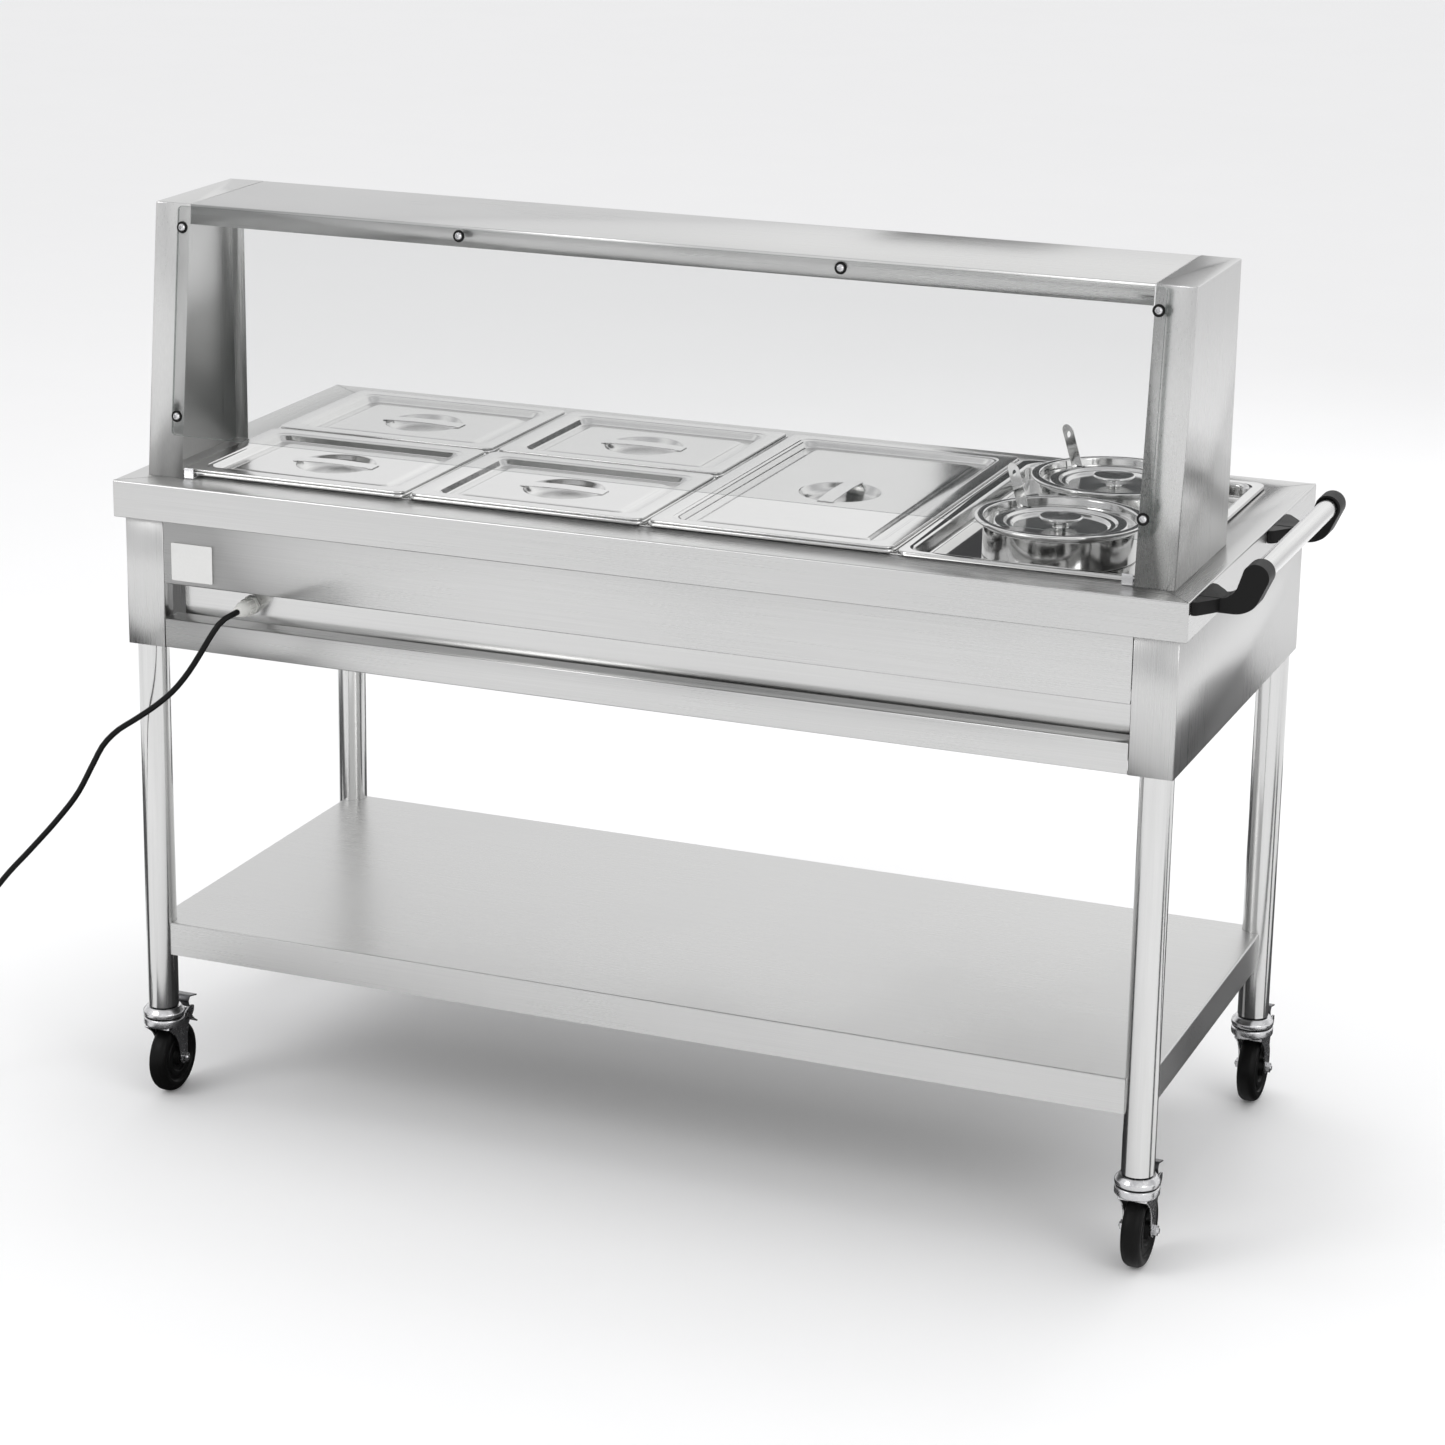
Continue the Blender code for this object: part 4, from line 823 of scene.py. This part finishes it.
def add_body():
    add_counter()
    add_end_panel("left", -1)
    add_end_panel("right", 1)
    add_long_panel(
        "body_front_upper", "front_upper_panel", -BODY_FACE, UPPER_PANEL_BOTTOM, UNDER_COUNTER, FOLD, FOLD)
    rail_fold = CASING_FRONT + BODY_FACE - GAP
    add_long_panel("body_front_rail", "front_lower_rail", -BODY_FACE, BODY_BOTTOM, RAIL_TOP, FOLD, rail_fold)
    valve_hole = moved(rod_shape(0.0125, -0.01, 0.01, 32, "Y"), (VALVE_X, BODY_FACE, VALVE_Z))
    add_long_panel(
        "body_rear", "rear_control_panel", BODY_FACE, BODY_BOTTOM, UNDER_COUNTER, FOLD, FOLD, [valve_hole])
    dress("well_casing", "casing")
    dress("water_tank", "casing")
    dress("heating_element", "zinc")
    dress("pan_frame", "brushed_x")
    dress("shelf_stiffener", "brushed_x")
    plate = rounded(square(0.0305, 0.02555, LABEL_CENTRE), 0.0015, 2, closed=True)
    piece("label_plate", prism_shape(plate, -BODY_FACE - 0.0004, -BODY_FACE + 0.0001, 1), "label")


# ---------------------------------------------------------------- pans, lids, pots

def tray_rings(half_x, half_y, rim_width, depth, taper):
    floor = PAN_RIM_TOP - depth
    section = [
        (0, 0.014, PAN_RIM_TOP - PAN_LIP),
        (0, 0.014, PAN_RIM_TOP),
        (rim_width, 0.024, PAN_RIM_TOP),
        (rim_width + taper, 0.024, floor),
        (rim_width + taper + 0.012, 0.014, floor),
    ]
    return [
        rounded_ring(half_x - inset, half_y - inset, radius, height)
        for inset, radius, height in rounded(section, min(0.007, depth * 0.25), 4)
    ]


def lid_rings(half_x, half_y):
    """Lip, wide flat rim, channel, raised panel, and a round dimple in its middle."""
    low = LID_RIM_TOP - LID_DROP
    panel = low + 0.0025
    section = [
        (0, 0.012, LID_RIM_TOP - LID_LIP),
        (0, 0.012, LID_RIM_TOP),
        (LID_RIM_WIDTH - 0.006, 0.016, LID_RIM_TOP),
        (LID_RIM_WIDTH - 0.004, 0.016, LID_RIM_TOP - 0.0012),
        (LID_RIM_WIDTH, 0.015, LID_RIM_TOP - 0.0012),
        (LID_RIM_WIDTH + 0.0055, 0.014, low),
        (LID_RIM_WIDTH + 0.020, 0.010, low),
        (LID_RIM_WIDTH + 0.0245, 0.009, panel),
        (LID_RIM_WIDTH + 0.032, 0.008, panel),
    ]
    rings = [
        rounded_ring(half_x - inset, half_y - inset, radius, height)
        for inset, radius, height in rounded(section, 0.0022, 3)
    ]
    bowl = [
        (DIMPLE_RADIUS + 0.003, panel), (DIMPLE_RADIUS, panel), (DIMPLE_RADIUS - 0.007, panel - 0.0095),
        (DIMPLE_RADIUS - 0.018, panel - 0.0122), (0.012, panel - 0.0126),
    ]
    return rings + [round_ring(len(rings[0]), radius, height) for radius, height in rounded(bowl, 0.006, 4)]


def add_pan(name, x, y, length, strap_along):
    at = (x, y, 0)
    rings = tray_rings(PAN_WIDTH / 2, length / 2, PAN_RIM_WIDTH, PAN_DEPTH, PAN_TAPER)
    piece(f"tray_{name}", pressed_shape(rings), "polished", name, [name], at, thickness=THIN_SHEET, sharp=50)
    lid = name.replace("pan", "lid")
    rings = lid_rings(PAN_WIDTH / 2 - LID_INSET, length / 2 - LID_INSET)
    piece(f"cover_{lid}", pressed_shape(rings), "lid", lid, [lid], at, thickness=THIN_SHEET, sharp=50)
    panel = LID_RIM_TOP - LID_DROP + 0.0025
    reach, across = DIMPLE_RADIUS + 0.005, STRAP_WIDTH / 2
    section = [(-reach, 0), (-reach + 0.008, 0.0006), (0, 0.0022), (reach - 0.008, 0.0006), (reach, 0)]
    path = rounded([(a, panel + b) for a, b in section], 0.02, 5)
    strap = prism_shape(strip_outline(path, 0.0012), -across, across, 1)
    turn = Matrix.Rotation(math.pi / 2, 4, "Z") if strap_along == "Y" else None
    piece(f"strap_{lid}", strap, "lid", lid, at=at, turn=turn, edge=0.0004)


def add_pans():
    for number, x in enumerate(COLUMNS[:2], 1):
        for row, side in (("front", -1), ("back", 1)):
            add_pan(f"half_pan_{row}_{number}", x, WELL_Y + side * ROW_OFFSET, HALF_PAN_LENGTH, "X")
    add_pan("full_pan", COLUMNS[2], WELL_Y, PAN_LENGTH, "Y")


def add_adapter():
    rings = tray_rings(PAN_WIDTH / 2, PAN_LENGTH / 2, ADAPTER_RIM_WIDTH, ADAPTER_DROP, 0.002)
    holes = [
        moved(rod_shape(POT_HOLE_RADIUS, 0.84, 0.88, 64), (COLUMNS[3], WELL_Y + side * POT_OFFSET, 0))
        for side in (-1, 1)
    ]
    piece(
        "pot_tray", pressed_shape(rings), "mirror", "soup_adapter", ["soup_adapter"], (COLUMNS[3], WELL_Y, 0),
        thickness=THIN_SHEET, cutters=holes, sharp=50,
    )


def add_pot(row, side):
    """A soup pot with its inset lid, disc knob and leaning ladle."""
    at = (COLUMNS[3], WELL_Y + side * POT_OFFSET, 0)
    seat = PAN_RIM_TOP - ADAPTER_DROP + GAP
    below = POT_HOLE_RADIUS - 0.0008
    wall = 0.001
    outside = [
        (0, POT_BOTTOM),
        (below - 0.004, POT_BOTTOM),
        (below, POT_BOTTOM + 0.010),
        (below, seat),
        (POT_RADIUS, seat),
        (POT_RADIUS, POT_RIM_TOP - 0.009),
        (POT_RIM_RADIUS - 0.0005, POT_RIM_TOP - 0.0045),
        (POT_RIM_RADIUS, POT_RIM_TOP - 0.0005),
        (POT_RIM_RADIUS - 0.0115, POT_RIM_TOP),
        (POT_RADIUS - 0.0018, POT_LID_SEAT - GAP),
        (POT_RADIUS - 0.0055, POT_LID_SEAT - GAP),
    ]
    inside = [
        (POT_RADIUS - 0.0055, POT_LID_SEAT - GAP - wall),
        (POT_RADIUS - wall, POT_LID_SEAT - GAP - wall),
        (POT_RADIUS - wall, seat + wall),
        (below - wall, seat + wall),
        (below - wall, POT_BOTTOM + 0.011),
        (below - 0.005, POT_BOTTOM + wall),
        (0, POT_BOTTOM + wall),
    ]
    profile = rounded(outside, 0.0022, 3) + inside
    pot = f"soup_pot_{row}"
    piece(f"pot_{row}", turned_shape(profile, 72), "polished", pot, [pot], at, sharp=45)

    base = POT_LID_SEAT
    upper = [
        (POT_LID_RADIUS, base + wall),
        (0.0865, base + wall),
        (0.0825, base + wall + 0.0034),
        (0.0715, base + wall + 0.0034),
        (0.0675, base + wall + 0.0006),
        (0.062, base + wall + 0.0006),
        (0.0585, base + wall - 0.0032),
        (0.0095, base + wall - 0.0036),
        (0.0085, base + 0.0045),
        (0.0120, base + 0.0080),
        (0.0262, base + 0.0088),
        (0.0275, base + 0.0102),
        (0.0262, base + 0.0118),
        (0.0120, base + 0.0122),
        (0, base + 0.0130),
    ]
    lower = [
        (POT_LID_RADIUS, base),
        (0.0868, base),
        (0.0828, base + 0.0034),
        (0.0712, base + 0.0034),
        (0.0672, base + 0.0006),
        (0.0617, base + 0.0006),
        (0.0582, base - 0.0032),
        (0, base - 0.0036),
    ]
    profile = lower[::-1] + rounded(upper, 0.0010, 3)
    cut_x, cut_y = LADLE_CROSSING
    near, far = -POT_RIM_RADIUS, cut_x + LADLE_WIDTH * 0.66
    notch = [(near, cut_y - 0.004), (far, cut_y - 0.004), (far, cut_y + 0.004), (near, cut_y + 0.004)]
    notch = prism_shape(rounded(notch, 0.003, 3, closed=True), base - 0.02, base + 0.02, 2)
    lid = f"pot_lid_{row}"
    piece(f"cover_{lid}", turned_shape(profile, 72), "polished", lid, [lid], at, cutters=[moved(notch, at)])

    lean = math.tan(LADLE_LEAN)

    def along(height, sideways=0.0):
        return cut_x - (height - POT_LID_SEAT) * lean + sideways, height

    half, top = LADLE_WIDTH / 2, LADLE_TOP
    outline = [along(LADLE_BOTTOM, -half), along(LADLE_BOTTOM, half), along(top - 0.006, half)]
    outline += [along(top, half * 0.4), along(top, -half * 0.4), along(top - 0.006, -half)]
    strip = prism_shape(rounded(outline, 0.003, 3, closed=True), cut_y - 0.0008, cut_y + 0.0008, 1)
    slot_x, slot_z = along(top - 0.013)
    slot = rod_shape(0.0023, -0.01, 0.01, 20, "Y")
    bmesh.ops.scale(slot, verts=slot.verts, vec=(1, 1, 1.9))
    moved(slot, (at[0] + slot_x, at[1] + cut_y, slot_z))
    ladle = f"ladle_{row}"
    piece(f"{ladle}_strip", strip, "mirror", ladle, [ladle], at, edge=0.0003, cutters=[slot])
    arc = [math.pi / 2 * i / 8 for i in range(9)]
    outer, inner = LADLE_BOWL_RADIUS, LADLE_BOWL_RADIUS - 0.0012
    bowl = [(outer * math.sin(a), -outer * math.cos(a)) for a in arc]
    bowl += [(inner * math.sin(a), -inner * math.cos(a)) for a in arc[::-1]]
    bowl_at = (at[0] + along(LADLE_BOTTOM)[0] + outer - 0.0006, at[1] + cut_y, LADLE_BOTTOM + 0.006)
    piece(f"{ladle}_bowl", turned_shape(bowl, 40), "polished", ladle, at=bowl_at)


# ---------------------------------------------------------------- guard and handle

def lean_y(height):
    share = (height - COUNTER_TOP) / (GUARD_TOP - COUNTER_TOP)
    return POST_FRONT_FOOT + (POST_FRONT_TOP - POST_FRONT_FOOT) * share


def add_guard():
    """Two open channel posts, the canopy between them, and the pane with its six screws."""
    foot = COUNTER_TOP + GAP
    for name, side in (("left", -1), ("right", 1)):
        outer, inner, back = (side * (POST_OUTER - width) for width in (0, POST_WIDTH, POST_BACK_FLANGE))
        points = [
            (outer, lean_y(foot), foot),
            (outer, POST_BACK, foot),
            (outer, POST_BACK, GUARD_TOP),
            (outer, POST_FRONT_TOP, GUARD_TOP),
            (inner, lean_y(foot), foot),
            (inner, POST_FRONT_TOP, GUARD_TOP),
            (back, POST_BACK, foot),
            (back, POST_BACK, GUARD_TOP),
            (inner, POST_BACK, GUARD_TOP),
        ]
        faces = [(0, 1, 2, 3), (0, 4, 5, 3), (1, 6, 7, 2), (3, 5, 8, 7, 2)]
        piece(
            f"post_{name}", sheet_shape(points, faces, (side, 0, 0)), "brushed_z",
            replaces=[f"guard_post_{name}"], fold=0.0016, thickness=SHEET,
        )
        tab = [(0, 0), (0.014, 0), (0.014, 0.0012), (0.0012, 0.0012), (0.0012, 0.014), (0, 0.014)]
        at = (side * (POST_OUTER - POST_WIDTH - 0.009), lean_y(foot) + 0.0022, foot)
        piece(f"post_{name}_tab", prism_shape(tab, -0.007, 0.007, 0), "zinc", at=at, edge=0.0003)
        screw_at = (at[0], at[1] + 0.008, foot + 0.0012)
        screw(f"post_{name}_tab_screw", "unit", screw_at, (0, 0, 1), 0.0035, washer=0)
    section = [
        (lean_y(GUARD_TOP - CANOPY_FLANGE), GUARD_TOP - CANOPY_FLANGE),
        (POST_FRONT_TOP, GUARD_TOP),
        (POST_BACK, GUARD_TOP),
        (POST_BACK, GUARD_TOP - FOLD),
    ]
    points = [(-CANOPY_END, y, z) for y, z in section] + [(CANOPY_END, y, z) for y, z in section]
    faces = [(1, 2, 6, 5), (0, 1, 5, 4), (2, 3, 7, 6)]
    piece(
        "canopy", sheet_shape(points, faces, (0, 0, 1)), "brushed_x", replaces=["guard_canopy"],
        fold=0.0016, thickness=SHEET,
    )
    tilt = math.atan2(POST_FRONT_TOP - POST_FRONT_FOOT, GUARD_TOP - COUNTER_TOP)
    height = (GLASS_TOP - GLASS_BOTTOM) / math.cos(tilt)
    outline = rounded_ring(GLASS_HALF_LENGTH, height / 2, 0.006, 0)
    middle = (GLASS_TOP + GLASS_BOTTOM) / 2
    pane = piece(
        "pane", prism_shape(outline, -GLASS_THICKNESS, 0, 1), "glass", replaces=["guard_glass"],
        at=(0, lean_y(middle) - 2 * GAP, middle), turn=Matrix.Rotation(-tilt, 4, "X"), edge=0.0006,
    )
    pane.data.materials.append(LOOKS["glass_edge"][0])
    for face in pane.data.polygons:
        face.material_index = int(abs(face.normal.y) < 0.7)
    outward = (0, -math.cos(tilt), math.sin(tilt))
    places = [(side * 0.655, COUNTER_TOP + rise) for side in (-1, 1) for rise in (0.083, 0.330)]
    places += [(side * 0.2565, COUNTER_TOP + 0.3485) for side in (-1, 1)]
    for number, (x, z) in enumerate(places, 1):
        y = lean_y(z) - 2 * GAP - GLASS_THICKNESS / math.cos(tilt) - 0.0004
        screw(f"pane_screw_{number}", "unit", (x, y, z), outward, 0.0050, washer=0.0078)


def add_handle():
    axis_x = COUNTER_END + HANDLE_OUT
    foot_x = COUNTER_END + GAP
    low, high = 0.861, COUNTER_TOP - GAP
    arc = [math.radians(angle) for angle in range(-30, 151, 9)]
    radius = SOCKET_RADIUS
    ring = [(axis_x + radius * math.cos(a), HANDLE_HEIGHT + radius * math.sin(a)) for a in arc]
    half = SOCKET_LENGTH / 2
    for row, y in zip(("front", "back"), SOCKET_CENTRES):
        lower = [(foot_x, low), (axis_x - 0.016, low), (axis_x + 0.001, low + 0.009), ring[0]]
        upper = [ring[-1], (axis_x - 0.023, high + 0.009), (axis_x - 0.034, high), (foot_x, high)]
        outline = rounded(lower, 0.012, 6)[:-1] + ring + rounded(upper, 0.010, 6)[1:]
        inward = 1 if row == "front" else -1
        ends = sorted((-inward * (half - 0.003), inward * (half + 0.01)))
        socket = rod_shape(HANDLE_TUBE_RADIUS + GAP, *ends, 48, "Y")
        arm = piece(
            f"bracket_{row}_arm", prism_shape(outline, -half, half, 1), "plastic", at=(0, y, 0),
            replaces=[f"handle_bracket_{row}"], cutters=[moved(socket, (axis_x, y, HANDLE_HEIGHT))],
            edge=0.0016,
        )
        arm.modifiers["edges"].segments = 3
        flare = [(foot_x, -0.0485), (foot_x + 0.007, -0.0475), (foot_x + 0.028, -half - 0.0006)]
        flare += [(a, -b) for a, b in flare[::-1]]
        shape = prism_shape(rounded(flare, 0.010, 5), low + 0.0015, high - 0.0005, 2)
        piece(f"bracket_{row}_foot", shape, "plastic", at=(0, y, 0), edge=0.0012)
    reach = half - 0.003 - GAP
    start, end = SOCKET_CENTRES[0] - reach, SOCKET_CENTRES[1] + reach
    outer, inner = HANDLE_TUBE_RADIUS, HANDLE_TUBE_RADIUS - LEG_WALL
    tube = turned_shape([(outer, start), (outer, end), (inner, end), (inner, start)], 56, "Y")
    piece("handle_bar", tube, "tube_y", replaces=["handle_tube"], at=(axis_x, 0, HANDLE_HEIGHT))


# ---------------------------------------------------------------- legs, shelf and casters

def add_legs_and_shelf():
    inner = LEG_RADIUS - LEG_WALL
    low = SHELF_TOP - SHELF_FLANGE
    notches = []
    for corner, (x, y) in CORNERS.items():
        profile = [
            (LEG_RADIUS - 0.0006, LEG_BOTTOM), (LEG_RADIUS, LEG_BOTTOM + 0.0006), (LEG_RADIUS, UNDER_COUNTER),
            (inner, UNDER_COUNTER), (inner, LEG_BOTTOM),
        ]
        tube = turned_shape(profile, 64)
        piece(f"tube_leg_{corner}", tube, "tube", replaces=[f"leg_{corner}"], at=(x, y, 0))
        notches.append(moved(rod_shape(LEG_RADIUS + GAP, low - 0.01, SHELF_TOP + 0.01, 64), (x, y, 0)))
    ground = square(SHELF_HALF_LENGTH, SHELF_HALF_DEPTH)
    points = [(x, y, SHELF_TOP) for x, y in ground] + [(x, y, low) for x, y in ground]
    faces = [(0, 1, 2, 3)] + [(i, (i + 1) % 4, 4 + (i + 1) % 4, 4 + i) for i in range(4)]
    piece(
        "shelf_tray", sheet_shape(points, faces, (0, 0, 1)), "brushed_x", replaces=["under_shelf"],
        fold=0.0018, thickness=SHEET, cutters=notches,
    )


def fork_outline():
    arc = [math.radians(angle) for angle in range(200, 341, 14)]
    low = [(WHEEL_TRAIL + 0.0095 * math.cos(a), WHEEL_RADIUS + 0.0095 * math.sin(a)) for a in arc]
    front = [(-0.0215, 0.1060), (-0.0170, 0.1000), (-0.0020, 0.0890), (0.0070, 0.0740), low[0]]
    back = [
        low[-1], (0.0305, 0.0800), (0.0350, 0.0960), (0.0500, 0.1075), (0.0510, 0.1175), (0.0400, 0.1195),
        (0.0215, 0.1120),
    ]
    return rounded(front, 0.006, 4)[:-1] + low + rounded(back, 0.005, 4)[1:]


def add_caster(corner, x, y):
    """A swivel caster: two ball races, a pressed fork, a rubber wheel on a bolt, and a brake pedal."""
    body, node = f"caster_{corner}", f"caster_fork_{corner}"
    head = rounded([
        (0, 0.1045), (0.0262, 0.1045), (0.0285, 0.1072), (0.0285, 0.1160), (0.0262, 0.1176),
        (0.0262, 0.1186), (0.0287, 0.1202), (0.0287, 0.1256), (0.0262, 0.1288), (0.0235, 0.1320),
        (0.0105, 0.1325), (0.0105, 0.1650), (0, 0.1650),
    ], 0.0012, 3)
    piece(f"races_{corner}", turned_shape(head, 56), "zinc", body, [node], (x, y, 0))
    groove = [(0.0262, 0.1174), (0.0274, 0.1176), (0.0274, 0.1186), (0.0262, 0.1188)]
    piece(f"race_seal_{corner}", turned_shape(groove, 48), "plastic", body, at=(x, y, 0))
    for name, side in (("left", -1), ("right", 1)):
        near, far = sorted((side * FORK_INNER, side * (FORK_INNER + FORK_PLATE)))
        plate = prism_shape(fork_outline(), near, far, 0)
        piece(f"fork_{corner}_{name}", plate, "zinc", body, at=(x, y, 0), edge=0.0006)
    crown = [(-0.0215, 0.1048), (-0.0215, 0.1022), (0.0350, 0.1022), (0.0350, 0.1048)]
    width = FORK_INNER + FORK_PLATE
    crown = prism_shape(rounded(crown, 0.001, 2, closed=True), -width, width, 0)
    piece(f"crown_{corner}", crown, "zinc", body, at=(x, y, 0), edge=0.0005)
    reach = width + 0.0068
    at = (x, y + WHEEL_TRAIL, WHEEL_RADIUS)
    shaft = [(0, -reach), (AXLE_RADIUS - 0.0006, -reach), (AXLE_RADIUS, 0.0008 - reach)]
    shaft += [(radius, -height) for radius, height in shaft[::-1]]
    piece(f"axle_{corner}", turned_shape(shaft, 24, "X"), "zinc", body, at=at)
    for name, side in (("left", -1), ("right", 1)):
        ends = sorted((side * width, side * (width + 0.0050)))
        piece(f"axle_{corner}_nut_{name}", rod_shape(0.0074, *ends, 6, "X"), "zinc", body, at=at, edge=0.0006)

    half, hub = 0.013, FORK_INNER - 0.001
    side_line = [
        (0.0125, hub), (0.0135, half - 0.0045), (0.0205, half - 0.0045), (0.0215, half - 0.0015),
        (0.0290, half - 0.0015), (0.0300, half - 0.0030), (0.0345, half - 0.0030), (0.0360, half - 0.0006),
        (0.0420, half), (0.0470, half - 0.0022), (WHEEL_RADIUS - 0.0003, half - 0.0070), (WHEEL_RADIUS, 0),
    ]
    tyre = rounded(side_line + [(radius, -height) for radius, height in side_line[:-1][::-1]], 0.0016, 3)
    bore = AXLE_RADIUS + 0.0006
    tyre = turned_shape([(bore, hub), *tyre, (bore, -hub)], 72, "X")
    piece(f"tyre_{corner}", tyre, "rubber", f"wheel_{corner}", [f"caster_wheel_{corner}"], at)

    pivot_y, pivot_z = PEDAL_PIVOT
    pedal = f"pedal_{corner}"
    width = FORK_INNER - 0.0015
    at = (x, y, 0)
    lower = rounded([(PEDAL_TIP - 0.0012, 0.0850), (PEDAL_TIP - 0.011, 0.0915), (pivot_y, 0.1130)], 0.006, 4)
    lever = prism_shape(strip_outline(lower, 0.0020), -width + 0.003, width - 0.003, 0)
    piece(f"brake_lever_{corner}", lever, "zinc", pedal, [f"brake_pedal_{corner}"], at, edge=0.0005)
    upper = rounded([(0.0660, 0.1265), (0.0460, 0.1310), (0.0405, 0.1240), (pivot_y, 0.1110)], 0.003, 4)
    toe = prism_shape(strip_outline(upper, 0.0020), -width, width, 0)
    piece(f"brake_toe_{corner}", toe, "dark_zinc", pedal, at=at, edge=0.0005)
    pin = rod_shape(0.0034, -width - 0.0006, width + 0.0006, 20, "X")
    piece(f"brake_pin_{corner}", pin, "zinc", pedal, at=(x, y + pivot_y, pivot_z - 0.0005))


# ---------------------------------------------------------------- gland and controls

def add_gland():
    """The cord's gland: a hexagon nut and a ribbed, tapered cap."""
    face = CASING_FRONT - GAP
    at = (GLAND_X, face, GLAND_Z)
    nut = rod_shape(0.0130, 0, -0.0065, 6, "Y")
    piece("gland_nut", nut, "nylon", replaces=["cord_gland"], at=at, edge=0.0006)
    cap = [(0.0106, -0.0065), (0.0106, -0.0220), (0.0098, -0.0300), (0.0066, -GLAND_LENGTH)]
    cap = turned_shape([(0, -0.0065), *rounded(cap, 0.003, 4), (0, -GLAND_LENGTH)], 40, "Y")
    piece("gland_cap", cap, "nylon", at=at)
    for i in range(12):
        angle = math.tau * i / 12
        spot = (GLAND_X + 0.0106 * math.cos(angle), face, GLAND_Z + 0.0106 * math.sin(angle))
        rib = turned(box_shape((-0.0010, -0.0215, -0.0008), (0.0010, -0.0085, 0.0008)), -angle, "Y")
        piece(f"gland_rib_{i + 1}", rib, "nylon", at=spot, edge=0.0003)


def add_controls():
    """The operator's side: thermostat knob on its dial plate, rocker switch in a frame, drain valve."""
    face = BODY_FACE
    plate = turned_shape([(0.0225, 0), (0.0340, 0), (0.0335, 0.0006), (0.0230, 0.0006)], 64, "Y")
    piece("knob_plate", plate, "dark_zinc", at=(KNOB_X, face - 0.0001, CONTROL_HEIGHT))
    for i in range(11):
        angle = math.radians(-135 + 27 * i)
        mark = turned(box_shape((-0.0004, 0, 0.0250), (0.0004, 0.0008, 0.0300)), angle, "Y")
        piece(f"knob_mark_{i + 1}", mark, "nylon", at=(KNOB_X, face, CONTROL_HEIGHT))
    body = [(0, 0), (0.022, 0), (0.022, 0.004), (0.0165, 0.0065), (0.0150, 0.0205), (0, 0.0210)]
    body = rounded(body, 0.0012, 3)
    at = (KNOB_X, face + GAP, CONTROL_HEIGHT)
    piece("knob_body", turned_shape(body, 64, "Y"), "plastic", "thermostat_knob", ["thermostat_knob"], at)
    grips = bmesh.new()
    for i in range(18):
        rib = turned(box_shape((-0.0007, 0.0072, 0.0150), (0.0007, 0.0195, 0.0160)), math.tau * i / 18, "Y")
        part = bpy.data.meshes.new("rib")
        rib.to_mesh(part)
        rib.free()
        grips.from_mesh(part)
        bpy.data.meshes.remove(part)
    piece("knob_grips", grips, "plastic", "thermostat_knob", at=at)
    pointer = box_shape((-0.0008, 0.0205, 0.0050), (0.0008, 0.0215, 0.0140))
    piece("knob_pointer", pointer, "nylon", "thermostat_knob", at=at, edge=0.0002)

    bezel = prism_shape(rounded(square(0.0150, 0.0190), 0.003, 3, closed=True), face, face + 0.0022, 1)
    window = box_shape((-0.0088, -0.05, -0.0128), (0.0088, 0.05, 0.0128))
    moved(window, (SWITCH_X, face, CONTROL_HEIGHT))
    piece("switch_bezel", bezel, "plastic", at=(SWITCH_X, 0, CONTROL_HEIGHT), cutters=[window], edge=0.0004)
    dress("power_switch", "plastic")
    dress("drain_lever", "plastic")

    body = rounded([
        (0, VALVE_START), (0.011, VALVE_START), (0.011, 0.318), (0.0143, 0.3185), (0.0143, 0.3300),
        (0.0098, 0.3315), (0.0098, 0.3555), (0.0065, 0.3560), (0.0065, 0.3330), (0, 0.3330),
    ], 0.0010, 3)
    at = (VALVE_X, 0, VALVE_Z)
    piece("valve_body", turned_shape(body, 48, "Y"), "brass", replaces=["drain_valve"], at=at)
    stem = rounded([(0, 0), (0.0045, 0), (0.0045, 0.0180), (0, 0.0183)], 0.0008, 2)
    piece("valve_stem", turned_shape(stem, 24), "brass", at=(VALVE_X, 0.3245, VALVE_Z))


# ---------------------------------------------------------------- everything

add_camera()
add_cord()
add_stage()
add_light()
add_body()
add_pans()
add_adapter()
for row, side in (("front", -1), ("back", 1)):
    add_pot(row, side)
add_guard()
add_handle()
add_legs_and_shelf()
for corner, (x, y) in CORNERS.items():
    add_caster(corner, x, y)
add_gland()
add_controls()
